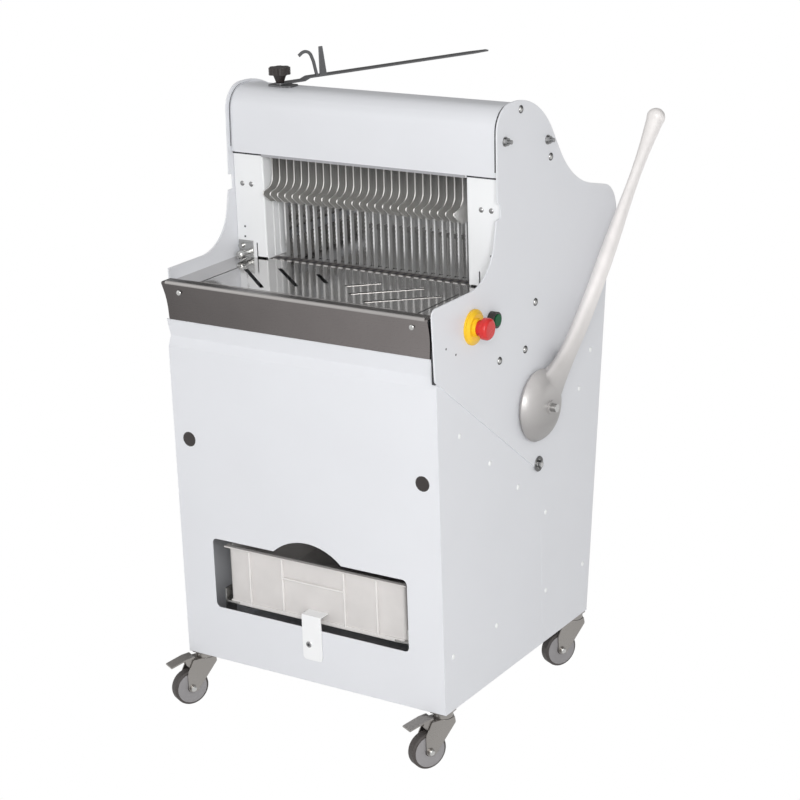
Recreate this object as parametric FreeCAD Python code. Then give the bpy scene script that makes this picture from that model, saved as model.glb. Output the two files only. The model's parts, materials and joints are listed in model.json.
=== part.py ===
import FreeCAD, Part
import math
import os

# A floor-standing bread slicer: a sheet-steel cabinet on four casters carries two reciprocating
# frames of blades. A lever on the right cheek pushes the loaf through them towards the front table.
# Millimetres. +X is the operator's right, +Y the back, +Z up. While modelling, X = 0 is the mid-plane,
# Y = 0 the front panel's outer face and Z = 0 the height datum, a little over the floor. The saved
# parts are shifted so that the origin lies on the floor under the middle of the machine.
FRAME_X = 16.0
FRAME_Y = 372.0
FLOOR = -8.0                  # floor level below the height datum

# ---- working height ------------------------------------------------------------------------------
TABLE_HEIGHT = 851.0          # top face of the table; the whole head is set out from it
BAND_TOP = TABLE_HEIGHT - 68.0    # top of the leaning band that meets the apron
GROOVE_BED = BAND_TOP - 35.0
GROOVE_LOW = GROOVE_BED - 19.0    # foot of the groove above the front panel's face

# ---- cabinet -------------------------------------------------------------------------------------
CABINET_WIDTH = 594.0         # over the side panels
SHEET = 1.5                   # cabinet, hood and table sheet
UNDERSIDE = 99.0              # cabinet underside above the datum
BASE_DEPTH = 548.0            # cabinet depth at its underside
BASE_SHEET = 2.0
WAIST_HEIGHT = TABLE_HEIGHT - 76.0    # where the rear edge bends
WAIST_DEPTH = 640.0
LIP = 15.0                    # returned lips of the front panel
GROOVE_DEPTH = 9.0            # shallow groove across the top of the front panel
BAND_WIDTH = 574.0
WINDOW_WIDTH = 443.0
WINDOW_BOTTOM = 210.5
WINDOW_TOP = 353.5
WINDOW_RADIUS = 10.0
SCOOP_WIDTH = 154.0           # hand scoop over the window
SCOOP_RISE = 30.0
PLUG_DIAMETER = 25.0
PLUG_X = 262.0
PLUG_Z = 548.0
PLUG_RIM = 1.5
PLUG_LIP = 1.2
SHELF_HEIGHT = 350.0          # top face of the drive shelf
SHELF_SHEET = 3.0
SHELF_FRONT = 190.0
SHELF_DEPTH = 330.0
CHUTE_FRONT = (60.0, SHELF_HEIGHT + 35.0)    # low edge of the crumb chute (Y, Z)
CHUTE_BACK = (400.0, SHELF_HEIGHT + 215.0)
VENT_COUNT = 8                # louvre slots in the rear panel
VENT_PITCH = 22.0
VENT_LENGTH = 180.0
VENT_HEIGHT = 6.0
VENT_START = 400.0

# ---- cheek plates, hood and columns --------------------------------------------------------------
CHEEK = 3.0                   # plate thickness
CHEEK_NOSE_TOP = TABLE_HEIGHT + 25.0
CHEEK_NOSE_FRONT = -13.0
CHEEK_CROWN = TABLE_HEIGHT + 336.0
CHEEK_FRONT = 217.0           # straight front edge beside the hood
CHEEK_REAR = 678.0
CHEEK_TIP = (373.0, TABLE_HEIGHT - 401.0)     # pointed foot (Y, Z) before rounding
CHEEK_SHOULDER = TABLE_HEIGHT + 148.0    # hollow between crown and shoulder
NOTCH_LOW = TABLE_HEIGHT + 134.0
NOTCH_HIGH = TABLE_HEIGHT + 163.0
NOTCH_DEPTH = 10.0
HOOD_INSET = 6.0              # hood skin inside the cheek outline
HOOD_EDGE = 5.0               # rounding where the hood skin turns into its side flanges
HOOD_BOTTOM = TABLE_HEIGHT + 207.0
HOOD_CORNER = 12.0
COLUMN_FACE = 232.0           # front face of the columns
COLUMN_INNER = 227.0          # inner edge of the column face
COLUMN_TOP = TABLE_HEIGHT + 238.0
COLUMN_RETURN = 66.0
COLUMN_FLANGE = 26.0
LATCH_X = 270.0               # post of the small latch on the left column
RAIL_DROP = 6.0               # throat rail below the hood's edge

# ---- apron and table -----------------------------------------------------------------------------
TABLE_BACK = 236.0
TABLE_FLANGE = 15.0
TABLE_ROLL = 4.0              # radius of the rolled bar along the front
APRON_TOP = TABLE_HEIGHT + 7.0
APRON_WIDTH = 582.0
APRON_FOOT_WIDTH = 572.0
APRON_OVER = 3.0              # the left end covers the cheek's edge
APRON_FACE = -14.0            # Y of the top of its face
APRON_FOOT = -1.5             # Y of the bottom of its face
APRON_HOLLOW = 3.0            # how far the face curves inwards
APRON_CURVE = 140.0
CRUMB_SLOT = 8.0              # width of the chevron slots
CRUMB_SLOTS = [((114.0, 58.0), (218.0, 150.0)),
               ((60.0, 93.0), (161.0, 182.0)),
               ((23.0, 136.0), (70.0, 178.0))]
DECK_GAP = 3.0                # straight slots beside the tray
DECK_GAP_X = 240.0
DECK_GAP_FRONT = 25.0
DECK_GAP_LENGTH = 150.0

# ---- blades and their frames ---------------------------------------------------------------------
BLADE_PITCH = 17.0
BLADE_COUNT = 25
BLADE_WIDTH = 12.0
BLADE_THICKNESS = 0.6
BLADE_PLANE = 270.0           # Y of the blades' middle
BLADE_SLOT = 4.0              # slot in the comb round a blade
FRAME_GAP = 18.0              # each frame lies this far in front of or behind the blade plane
STROKE = 18.0                 # each frame's travel up and down from the middle
BEAM_DEPTH = 10.0
BEAM_HEIGHT = 28.0
TOP_BEAM = TABLE_HEIGHT + 261.0
LOW_BEAM = TABLE_HEIGHT - 161.0
UPRIGHT_DIAMETER = 16.0
UPRIGHT_X = 255.0
BEAM_END = 8.0                # beam past the upright's axis
HOLDER_WIDTH = 8.0
HOLDER_HEIGHT = 26.0
GUIDE_HEIGHT = 25.0
GUIDE_LOW = TABLE_HEIGHT - 106.0
GUIDE_HIGH = TABLE_HEIGHT + 179.0
RUNNING = 0.05                # radial clearance of a sliding or turning fit
COMB_DEPTH = 26.0             # solid part of the front comb
COMB_HEIGHT = 13.0
COMB_TOOTH = 17.0             # length of the teeth
COMB_TOOTH_HEIGHT = 6.0
COMB_TONGUE = 15.0            # outer teeth reach this far under the rear table and carry it
COMB_GAP = 2.0                # between the front comb's teeth and the rear table

# ---- press fingers -------------------------------------------------------------------------------
FINGER_THICKNESS = 2.5
FINGER_SHAFT_DIAMETER = 12.0
FINGER_SHAFT_Y = 255.0
FINGER_SHAFT_Z = TABLE_HEIGHT + 225.0
FINGER_EYE = 12.0             # outer radius of the eye round the shaft
FINGER_TOE = 214.0            # Y of the toe's tip
FINGER_TOE_Z = FINGER_SHAFT_Z - 88.0
FINGER_FOOT_Z = FINGER_SHAFT_Z - 111.0
FINGER_HEEL = 269.0
FINGER_STEM = 244.0           # front edge of the stem
SHAFT_OVERHANG = 11.0         # finger shaft past the column return
FINGER_DROP = 12.0            # degrees the toes can lift

# ---- blade drive ---------------------------------------------------------------------------------
CRANK_Y = BLADE_PLANE
CRANK_Z = SHELF_HEIGHT + 90.0
CRANK_SHAFT_DIAMETER = 25.0
CRANK_DISC_RADIUS = 34.0
CRANK_DISC = 8.0
CRANK_DISC_X = 42.0           # inner face of each disc
CRANK_PIN_DIAMETER = 12.0
PIN_GAP = 0.6                 # free end of a crank pin to its disc
ROD_WIDTH = 10.0              # connecting rod along X
ROD_X = 52.0                  # its face next to the disc
ROD_EYE = 11.0
BEARING_X = 22.0
BEARING_LENGTH = 16.0
BEARING_RADIUS = 28.0
PULLEY_RADIUS = 40.0
MOTOR_PULLEY_RADIUS = 24.0
PULLEY_WIDTH = 28.0
BELT_THICKNESS = 6.0
BELT_WIDTH = 22.0
BELT_GAP = 0.3
MOTOR_Y = 430.0
MOTOR_Z = SHELF_HEIGHT + 85.0
MOTOR_RADIUS = 62.0
MOTOR_X = 30.0
MOTOR_LENGTH = 190.0
MOTOR_SHAFT_DIAMETER = 19.0
ROD_SLOT = 44.0               # openings in the chute for the connecting rods

# ---- rear table and pusher -----------------------------------------------------------------------
REAR_TABLE_BACK = WAIST_DEPTH + 10.0
BAY_WIDTH = 458.0             # between the rear table's side walls
WALL_HEIGHT = 89.0
WALL_FRONT = 295.0
WALL_SLOT_LOW = 23.0          # slot in the wall for the pusher's arms, above the table
WALL_SLOT_HIGH = 55.0
GUIDE_ROD_DIAMETER = 14.0
GUIDE_ROD_X = 250.0
GUIDE_ROD_Z = TABLE_HEIGHT + 39.0
GUIDE_BLOCK = 10.0
PUSH_TRAVEL = 280.0
PUSHER_Y = 590.0              # front face of the pusher beam at rest
PUSHER_BEAM = 16.0
PUSHER_BEAM_HEIGHT = 26.0
FIN_COUNT = BLADE_COUNT - 1
FIN_LENGTH = 48.0
FIN_THICKNESS = 3.0
FIN_HEIGHT = 94.0
FIN_CLEARANCE = 5.0
SLEEVE_RADIUS = 12.0
SLEEVE_LENGTH = 40.0

# ---- lever ---------------------------------------------------------------------------------------
LEVER_Y = 344.0
LEVER_Z = TABLE_HEIGHT - 251.0
LEVER_SHAFT_DIAMETER = 20.0
LEVER_ANGLE = 47.4            # degrees above the horizontal, leaning back
LEVER_REACH = 661.0           # axle to the end of the knob
LEVER_SWING = 60.0
HUB_RADIUS = 70.0
HUB_BACK = 302.0
HUB_DEPTH = 31.0
HUB_FLAT = 40.0
ARM_X = 335.0                 # the arm's middle plane
KNOB_RADIUS = 18.5
INNER_ARM_X = 271.0
INNER_ARM = 10.0
INNER_ARM_REACH = 286.0
INNER_ARM_ANGLE = 48.6
INNER_ARM_END = 12.0
BUSH_FLANGE = 1.5
BUSH_RADIUS = 14.0
BUSH_FLANGE_RADIUS = 18.0

# ---- crumb drawer --------------------------------------------------------------------------------
DRAWER_FRONT = 22.0
DRAWER_WIDTH = 403.0
DRAWER_BOTTOM = 221.0
DRAWER_TOP = 334.0
DRAWER_DEPTH = 400.0
DRAWER_WALL = 3.0
DRAWER_RIM = 6.0
DRAWER_RIB = 4.0
DRAWER_RIBS = [-151.0, -74.0, 68.0, 141.0]
DRAWER_BAR = 292.0            # height of the cross rib between the middle ribs
RUNNER_GAP = 0.3
BRACKET_WIDTH = 44.0
BRACKET_X = 5.0
BRACKET_BOTTOM = 147.0
BRACKET_TOP = 239.0
BRACKET_SHEET = 2.0
BRACKET_STANDOFF = 1.0        # bracket to the front panel
BRACKET_SCREW_X = BRACKET_X - 6.0
BRACKET_SCREW_Z = 180.0

# ---- controls ------------------------------------------------------------------------------------
STOP_Y = 123.0
STOP_Z = TABLE_HEIGHT - 40.0
STOP_BASE_RADIUS = 32.5
STOP_BASE = 9.0
STOP_NECK_RADIUS = 14.0
STOP_NECK = 14.0
STOP_HEAD_RADIUS = 20.0
STOP_HEAD = 14.0
STOP_PRESS = 4.0
START_Y = 186.0
START_Z = TABLE_HEIGHT - 42.0
START_BEZEL_RADIUS = 15.0
START_BEZEL = 14.0
START_RADIUS = 11.0
START_PRESS = 3.0
BUTTON_CLEARANCE = 0.1

# ---- bag arm -------------------------------------------------------------------------------------
BAG_X = -212.8
BAG_Y = 282.6
BAG_BASE_LENGTH = 54.0
BAG_BASE_DEPTH = 30.0
BAG_BASE = 3.0
BAG_STUD_DIAMETER = 10.0
BAG_BAR_WIDTH = 20.0
BAG_BAR = 3.0
BAG_BAR_LENGTH = 495.0
BAG_AIM = (0.378, 0.926)      # plan direction of the bar
BAG_RISE = 4.5                # joggle up of the bar's long part
BAG_TABS = 63.0
BAG_HOOK_HEIGHT = 55.0
BAG_SPIKE_HEIGHT = 58.0
BAG_KNOB_RADIUS = 21.0
BAG_KNOB_HEAD = 14.0
BAG_KNOB_NECK = 15.0

# ---- casters -------------------------------------------------------------------------------------
WHEEL_RADIUS = 36.0
WHEEL_WIDTH = 22.0
WHEEL_HUB_RADIUS = 20.0
CASTER_X = 277.0
CASTER_FRONT_Y = 23.0
CASTER_REAR_Y = 528.0
CASTER_TRAIL = 37.0
CASTER_AIM = (-0.454, -0.891)
CASTER_PLATE = 3.0
CASTER_RACE = 9.0
CASTER_RACE_RADIUS = 19.0
CASTER_PLATE_HALF = 19.5
FORK_SHEET = 2.5
FORK_GAP = 1.5                # wheel to each fork leg
FORK_CROWN_RADIUS = 20.0
AXLE_DIAMETER = 8.0
PEDAL_WIDTH = 30.0
PEDAL_REACH = 50.0
PEDAL_SHEET = 2.5
PEDAL_HEIGHT = 42.0           # pedal pin above the axle
PEDAL_TILT = 4.0

# ---- fasteners -----------------------------------------------------------------------------------
SCREW_HOLE = 7.0
SCREW_RADIUS = 6.5
SCREW_RISE = 3.0
WASHER = 1.6
NUT = 6.0
BOLT_RADIUS = 4.0
BOLT_END = 14.0               # threaded end past the cheek
HEX_SIZE = 13.0
# screw places as (Y, height from the table) on the cheeks and (X, height from the table) on the columns
DOMED = [(348.0, -51.0), (307.0, -132.0), (213.0, -128.0), (305.0, 318.0), (413.0, 211.0)]
HEX = [(248.0, 270.0), (403.0, 245.0)]
TIP_BOLT = (352.0, -372.0)
COLUMN_SCREWS = [(278.0, 145.0), (257.0, 145.0)]

PARTS = "parts"
V = FreeCAD.Vector
X_AXIS, Y_AXIS, Z_AXIS = V(1, 0, 0), V(0, 1, 0), V(0, 0, 1)
HALF = CABINET_WIDTH / 2
INSIDE = HALF - SHEET         # inner face of the side panels
CHEEK_OUT = HALF + CHEEK      # outer face of the cheek plates


# ---- helpers -------------------------------------------------------------------------------------
def box(x0, x1, y0, y1, z0, z1):
    return Part.makeBox(x1 - x0, y1 - y0, z1 - z0, V(x0, y0, z0))


def rod(start, direction, radius, length):
    return Part.makeCylinder(radius, length, start, direction)


def ring(start, direction, outer, inner, length):
    return rod(start, direction, outer, length).cut(rod(start, direction, inner, length))


def across(radius, y, z, x0, x1):
    """A round bar along X."""
    return rod(V(x0, y, z), X_AXIS, radius, x1 - x0)


def fuse(shapes):
    return shapes[0].multiFuse(shapes[1:]).removeSplitter()


def mirrored(shape):
    return shape.mirror(V(0, 0, 0), X_AXIS)


def pair(shape):
    return [shape, mirrored(shape)]


def at_pitch(count):
    """X positions of a centred row at the blade pitch."""
    return [(i - (count - 1) / 2) * BLADE_PITCH for i in range(count)]


def place(axis, offset):
    """Maps the two outline coordinates of a plane across the axis into space."""
    return {"x": lambda a, b: V(offset, a, b),
            "y": lambda a, b: V(a, offset, b),
            "z": lambda a, b: V(a, b, offset)}[axis]


def corner(before, point, after, radius):
    """Start, middle and end of the arc that rounds one corner of an outline."""
    to_back = V(before[0] - point[0], before[1] - point[1], 0).normalize()
    to_next = V(after[0] - point[0], after[1] - point[1], 0).normalize()
    half = to_back.getAngle(to_next) / 2
    tip = V(point[0], point[1], 0)
    bisector = (to_back + to_next).normalize()
    middle = tip + bisector * (radius / math.sin(half) - radius)
    reach = radius / math.tan(half)
    return tip + to_back * reach, middle, tip + to_next * reach


def outline(points, axis, offset):
    """Closed wire through corner points (a, b) or (a, b, rounding radius)."""
    lift = place(axis, offset)
    edges, last, first = [], None, None
    for i, point in enumerate(points):
        radius = point[2] if len(point) > 2 else 0.0
        if radius > 0:
            start, middle, end = corner(points[i - 1], point, points[(i + 1) % len(points)], radius)
            arc = Part.Arc(*[lift(p.x, p.y) for p in (start, middle, end)]).toShape()
            start, end = lift(start.x, start.y), lift(end.x, end.y)
        else:
            start = end = lift(point[0], point[1])
            arc = None
        if last is not None and (start - last).Length > 1e-6:
            edges.append(Part.makeLine(last, start))
        if arc is not None:
            edges.append(arc)
        first = first or start
        last = end
    if (first - last).Length > 1e-6:
        edges.append(Part.makeLine(last, first))
    return Part.Wire(edges)


def prism(points, axis, start, end):
    """Solid with the given outline, straight from start to end along the axis."""
    direction = {"x": X_AXIS, "y": Y_AXIS, "z": Z_AXIS}[axis]
    return Part.Face(outline(points, axis, start)).extrude(direction * (end - start))


def folded(path, thickness):
    """Outline of a folded sheet. The path (a, b, bend radius) is one face, the sheet lies to its left."""
    back = []
    for i, point in enumerate(path):
        a, b = V(*point[:2], 0), None
        normals = []
        if i > 0:
            run = (a - V(*path[i - 1][:2], 0)).normalize()
            normals.append(V(-run.y, run.x, 0))
        if i < len(path) - 1:
            run = (V(*path[i + 1][:2], 0) - a).normalize()
            normals.append(V(-run.y, run.x, 0))
        if len(normals) == 1:
            b = a + normals[0] * thickness
            back.append((b.x, b.y))
            continue
        both = (normals[0] + normals[1]).normalize()
        b = a + both * (thickness / both.dot(normals[0]))
        turn = normals[0].cross(normals[1]).z
        radius = point[2] if len(point) > 2 else 0.0
        if radius > 0:
            radius = radius - thickness if turn > 0 else radius + thickness
        back.append((b.x, b.y, max(radius, 0.0)))
    return list(path) + back[::-1]


def slot(start, end, width, z0, z1):
    """Stadium-shaped cutter between two plan points."""
    a, b = V(start[0], start[1], z0), V(end[0], end[1], z0)
    side = (b - a).normalize().cross(Z_AXIS) * (width / 2)
    bar = Part.Face(Part.makePolygon([a + side, b + side, b - side, a - side, a + side]))
    ends = [rod(p, Z_AXIS, width / 2, z1 - z0) for p in (a, b)]
    return fuse([bar.extrude(Z_AXIS * (z1 - z0))] + ends)


def save(name, *shapes):
    """Writes one node, moved so that the origin lies under the middle of the machine."""
    solid = shapes[0] if len(shapes) == 1 else Part.makeCompound(list(shapes))
    solid = solid.copy()
    solid.translate(V(-FRAME_X, -FRAME_Y, -FLOOR))
    solid.exportStep(os.path.join(PARTS, name + ".step"))


# ---- cabinet -------------------------------------------------------------------------------------
def rear_edge(z):
    """Y of the cabinet's leaning rear edge at a height."""
    slope = (WAIST_DEPTH - BASE_DEPTH) / (WAIST_HEIGHT - UNDERSIDE)
    return BASE_DEPTH + (z - UNDERSIDE) * slope


def front_panel():
    path = [(SHEET + LIP, UNDERSIDE), (0.0, UNDERSIDE, 2.0), (0.0, GROOVE_LOW, 4.0),
            (GROOVE_DEPTH, GROOVE_BED, 4.0), (APRON_FOOT + SHEET, BAND_TOP - 0.5)]
    path = [(a, b) + tuple(r) for a, b, *r in path]
    sheet = prism(folded(path[::-1], SHEET), "x", -HALF, HALF)
    ends = box(BAND_WIDTH / 2, HALF + 1, -SHEET * 4, GROOVE_DEPTH + 4, GROOVE_BED - 8, BAND_TOP + 1)
    half = WINDOW_WIDTH / 2
    window = prism([(-half, WINDOW_BOTTOM, WINDOW_RADIUS), (half, WINDOW_BOTTOM, WINDOW_RADIUS),
                    (half, WINDOW_TOP, WINDOW_RADIUS), (-half, WINDOW_TOP, WINDOW_RADIUS)],
                   "y", -SHEET, SHEET * 2)
    radius = (SCOOP_WIDTH ** 2 / 4 + SCOOP_RISE ** 2) / (2 * SCOOP_RISE)
    scoop = rod(V(0, -SHEET, WINDOW_TOP + SCOOP_RISE - radius), Y_AXIS, radius, SHEET * 3)
    scoop = scoop.common(box(-HALF, HALF, -SHEET, SHEET * 2, WINDOW_TOP - 1, WINDOW_TOP + SCOOP_RISE + 1))
    tucks = box(INSIDE, HALF + 1, SHEET, SHEET + LIP + 1, UNDERSIDE - 1, GROOVE_LOW - LIP)
    holes = [rod(V(x, -SHEET, PLUG_Z), Y_AXIS, PLUG_DIAMETER / 2 - PLUG_RIM, SHEET * 3)
             for x in (-PLUG_X, PLUG_X)]
    screw = rod(V(BRACKET_SCREW_X, -SHEET, BRACKET_SCREW_Z), Y_AXIS, SCREW_HOLE / 2, SHEET * 3)
    return sheet.cut([window, scoop, screw, ends] + holes + pair(tucks))


def side_panel():
    """Right side panel with a narrow bottom flange; its top hides behind the cheek plate."""
    outer = [(SHEET, UNDERSIDE), (BASE_DEPTH, UNDERSIDE), (WAIST_DEPTH, WAIST_HEIGHT),
             (CHEEK_REAR - 6, CHEEK_NOSE_TOP + 14), (WAIST_DEPTH, CHEEK_NOSE_TOP + 14, 8.0),
             (WAIST_DEPTH - 40, TABLE_HEIGHT - 6), (GROOVE_DEPTH + 8, TABLE_HEIGHT - 6),
             (GROOVE_DEPTH + 8, GROOVE_BED + 10), (SHEET, GROOVE_LOW - 1)]
    sheet = prism(outer, "x", INSIDE, HALF)
    return sheet.cut(across(BUSH_RADIUS, LEVER_Y, LEVER_Z, INSIDE - 1, HALF + 1))


def base_plate():
    front, back = SHEET + LIP, rear_edge(UNDERSIDE) - LIP
    plan = box(-INSIDE, INSIDE, front, back, UNDERSIDE, UNDERSIDE + BASE_SHEET)
    lips = [box(INSIDE - BASE_SHEET, INSIDE, front, back, UNDERSIDE, UNDERSIDE + LIP)]
    return fuse([plan] + lips + [mirrored(lip) for lip in lips])


def rear_panel():
    """Leaning rear sheet between the side panels, with louvre slots for the motor's air."""
    top = TABLE_HEIGHT - SHEET
    path = [(rear_edge(UNDERSIDE) - LIP, UNDERSIDE), (rear_edge(UNDERSIDE), UNDERSIDE, 3.0),
            (WAIST_DEPTH, WAIST_HEIGHT, 60.0), (WAIST_DEPTH + 16, top)]
    sheet = prism(folded(path, SHEET), "x", -INSIDE, INSIDE)
    slots = []
    for i in range(VENT_COUNT):
        z = VENT_START + i * VENT_PITCH
        y = rear_edge(z)
        slots.append(box(-VENT_LENGTH / 2, VENT_LENGTH / 2, y - 6, y + 6, z, z + VENT_HEIGHT))
    return sheet.cut(slots)


def drive_shelf():
    shelf = box(-INSIDE, INSIDE, SHELF_FRONT, SHELF_FRONT + SHELF_DEPTH,
                SHELF_HEIGHT - SHELF_SHEET, SHELF_HEIGHT)
    lip = box(-INSIDE, INSIDE, SHELF_FRONT, SHELF_FRONT + SHELF_SHEET,
              SHELF_HEIGHT, SHELF_HEIGHT + LIP)
    return fuse([shelf, lip])


def crumb_chute():
    """Leaning sheet that leads the crumbs forward, open where the connecting rods pass."""
    path = [CHUTE_FRONT, CHUTE_BACK]
    sheet = prism(folded(path, SHEET), "x", -INSIDE, INSIDE)
    centre = ROD_X + ROD_WIDTH / 2
    openings = []
    for x, y in ((-centre, BLADE_PLANE - FRAME_GAP), (centre, BLADE_PLANE + FRAME_GAP)):
        openings.append(box(x - ROD_SLOT / 2, x + ROD_SLOT / 2, y - ROD_SLOT, y + ROD_SLOT,
                            CHUTE_FRONT[1], CHUTE_BACK[1]))
    return sheet.cut(openings)


def panel_plugs():
    plugs = []
    for x in (-PLUG_X, PLUG_X):
        rim = rod(V(x, -PLUG_LIP, PLUG_Z), Y_AXIS, PLUG_DIAMETER / 2, PLUG_LIP)
        stem = rod(V(x, 0, PLUG_Z), Y_AXIS, PLUG_DIAMETER / 2 - PLUG_RIM, SHEET * 3)
        plugs.append(fuse([rim, stem]))
    return plugs


# ---- cheek plates, hood, columns, apron, table ---------------------------------------------------
def crown_line():
    """Top outline shared by the cheeks and the hood, from the hood's front foot to its back."""
    return [(CHEEK_FRONT, NOTCH_HIGH, 2.0), (CHEEK_FRONT + 4, CHEEK_CROWN, 50.0),
            (CHEEK_FRONT + 157, CHEEK_CROWN, 165.0), (CHEEK_FRONT + 279, CHEEK_SHOULDER, 200.0)]


def cheek():
    """Right cheek plate: nose, swept throat, crown over the hood, shoulder and pointed foot."""
    points = [(CHEEK_NOSE_FRONT + 6, GROOVE_BED - 4, 8.0), (CHEEK_NOSE_FRONT, CHEEK_NOSE_TOP, 14.0),
              (191.0, CHEEK_NOSE_TOP, 90.0), (CHEEK_FRONT - 4, NOTCH_LOW, 2.0),
              (CHEEK_FRONT + NOTCH_DEPTH, NOTCH_LOW, 3.0),
              (CHEEK_FRONT + NOTCH_DEPTH, NOTCH_HIGH, 3.0)]
    points += crown_line()
    points += [(CHEEK_REAR, CHEEK_SHOULDER - 44, 60.0), (CHEEK_REAR - 1, CHEEK_NOSE_TOP + 26, 4.0),
               (CHEEK_TIP[0], CHEEK_TIP[1], 20.0)]
    plate = prism(points, "x", HALF, CHEEK_OUT)
    return plate.cut(across(BUSH_RADIUS, LEVER_Y, LEVER_Z, HALF - 1, CHEEK_OUT + 1))


def left_nose_trim():
    """What the left plate lacks: its nose ends behind the apron and the front panel."""
    return box(HALF - 1, CHEEK_OUT + 1, CHEEK_NOSE_FRONT - 1, LIP + 1, BAND_TOP - 80, CHEEK_NOSE_TOP + 1)


def hood():
    """Bent skin with side flanges against the cheeks, open below and behind."""
    inset = HOOD_INSET
    front = CHEEK_FRONT + 4 + inset

    def skin(shrink, low):
        return [(front + shrink, low), (front + 3 + shrink, CHEEK_CROWN - inset - shrink, 44 - shrink),
                (371.0 - shrink * 0.55, CHEEK_CROWN - inset - shrink, 159.0 - shrink),
                (454.0 - shrink * 1.2, low)]
    shell = prism(skin(0.0, HOOD_BOTTOM), "x", -HALF, HALF)
    rounded = [e for e in shell.Edges
               if abs(abs(e.CenterOfMass.x) - HALF) < 0.01 and e.CenterOfMass.z > HOOD_BOTTOM + 1]
    shell = shell.makeFillet(HOOD_EDGE, rounded)
    hollow = prism(skin(SHEET, HOOD_BOTTOM - 5), "x", -INSIDE, INSIDE)
    corners = []
    for side in (-1, 1):
        edge = side * HALF
        inner = edge - side * HOOD_CORNER
        cutter = box(min(edge + side, inner), max(edge + side, inner), 200.0, front + SHEET,
                     HOOD_BOTTOM - 1, HOOD_BOTTOM + HOOD_CORNER)
        corners.append(cutter.cut(rod(V(inner, 199.0, HOOD_BOTTOM + HOOD_CORNER), Y_AXIS,
                                      HOOD_CORNER, front + SHEET - 198.0)))
    return shell.cut([hollow] + corners)


def column():
    """Right column: front face, inner return that carries the finger shaft, outer flange."""
    back_in = COLUMN_FACE + COLUMN_RETURN
    path = [(COLUMN_INNER, back_in), (COLUMN_INNER, COLUMN_FACE, 3.0), (HALF, COLUMN_FACE, 3.0),
            (HALF, COLUMN_FACE + COLUMN_FLANGE)]
    sheet = prism(folded(path, SHEET), "z", TABLE_HEIGHT, COLUMN_TOP)
    notch = box(COLUMN_INNER - 1, 250.0, COLUMN_FACE - 1, TABLE_BACK + 0.1, TABLE_HEIGHT - 1,
                TABLE_HEIGHT + 3)
    slit = box(249.0, 252.0, COLUMN_FACE - 1, COLUMN_FACE + SHEET + 0.5, TABLE_HEIGHT - 1,
               TABLE_HEIGHT + 30)
    bore = across(FINGER_SHAFT_DIAMETER / 2 + RUNNING, FINGER_SHAFT_Y, FINGER_SHAFT_Z,
                  COLUMN_INNER - 1, COLUMN_INNER + SHEET + 1)
    clear = box(INSIDE, HALF + 1, COLUMN_FACE - 1, COLUMN_FACE + COLUMN_FLANGE + 1, HOOD_BOTTOM,
                COLUMN_TOP + 1)
    return sheet.cut([notch, slit, bore, clear])


def throat_rail():
    """Flat rail between the columns, just behind the hood's lower edge."""
    return box(-COLUMN_INNER, COLUMN_INNER, COLUMN_FACE + 3, COLUMN_FACE + 5,
               HOOD_BOTTOM - RAIL_DROP, COLUMN_TOP)


def apron():
    """Hollow stainless front bar with a slightly concave face and slanted ends."""
    middle = (APRON_TOP + BAND_TOP) / 2
    path = [(LIP, APRON_TOP), (APRON_FACE, APRON_TOP, 3.0),
            ((APRON_FACE + APRON_FOOT) / 2 + APRON_HOLLOW * 2, middle, APRON_CURVE),
            (APRON_FOOT, BAND_TOP, 1.6), (LIP - 4, BAND_TOP)]
    bar = prism(folded(path, SHEET), "x", -APRON_WIDTH / 2 - APRON_OVER, APRON_WIDTH / 2)
    taper = (APRON_WIDTH - APRON_FOOT_WIDTH) / 2
    edge = APRON_WIDTH / 2
    trim = prism([(edge - taper, BAND_TOP - 1), (edge + 1, BAND_TOP - 1), (edge + 1, APRON_TOP + 1),
                  (edge, APRON_TOP + 1)], "y", APRON_FACE - 5, LIP + 5)
    left = mirrored(trim)
    left.translate(-X_AXIS * APRON_OVER)
    return bar.cut([trim, left])


def table():
    """Front table sheet with its rolled bar, crumb slots and rear flange."""
    top, under = TABLE_HEIGHT, TABLE_HEIGHT - SHEET
    front = LIP + 0.0
    sheet = box(-HALF, HALF, front, TABLE_BACK, under, top)
    drop = box(-COLUMN_INNER, COLUMN_INNER, TABLE_BACK - SHEET, TABLE_BACK, top - TABLE_FLANGE, top)
    step = box(-APRON_FOOT_WIDTH / 2, APRON_FOOT_WIDTH / 2, front, front + SHEET, under, APRON_TOP)
    roll = across(TABLE_ROLL, front + TABLE_ROLL, top + TABLE_ROLL - 1,
                  -COLUMN_INNER, COLUMN_INNER)
    cutters = []
    for start, end in CRUMB_SLOTS:
        cutters += pair(slot(start, end, CRUMB_SLOT, under - 1, top + 1))
    gap = slot((DECK_GAP_X, DECK_GAP_FRONT + 5), (DECK_GAP_X, DECK_GAP_FRONT + DECK_GAP_LENGTH),
               DECK_GAP, under - 1, top + 1)
    return fuse([sheet, drop, step, roll]).cut(cutters + pair(gap))


# ---- comb, blades and fingers --------------------------------------------------------------------
COMB_HALF = COLUMN_INNER - 1.0


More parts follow.
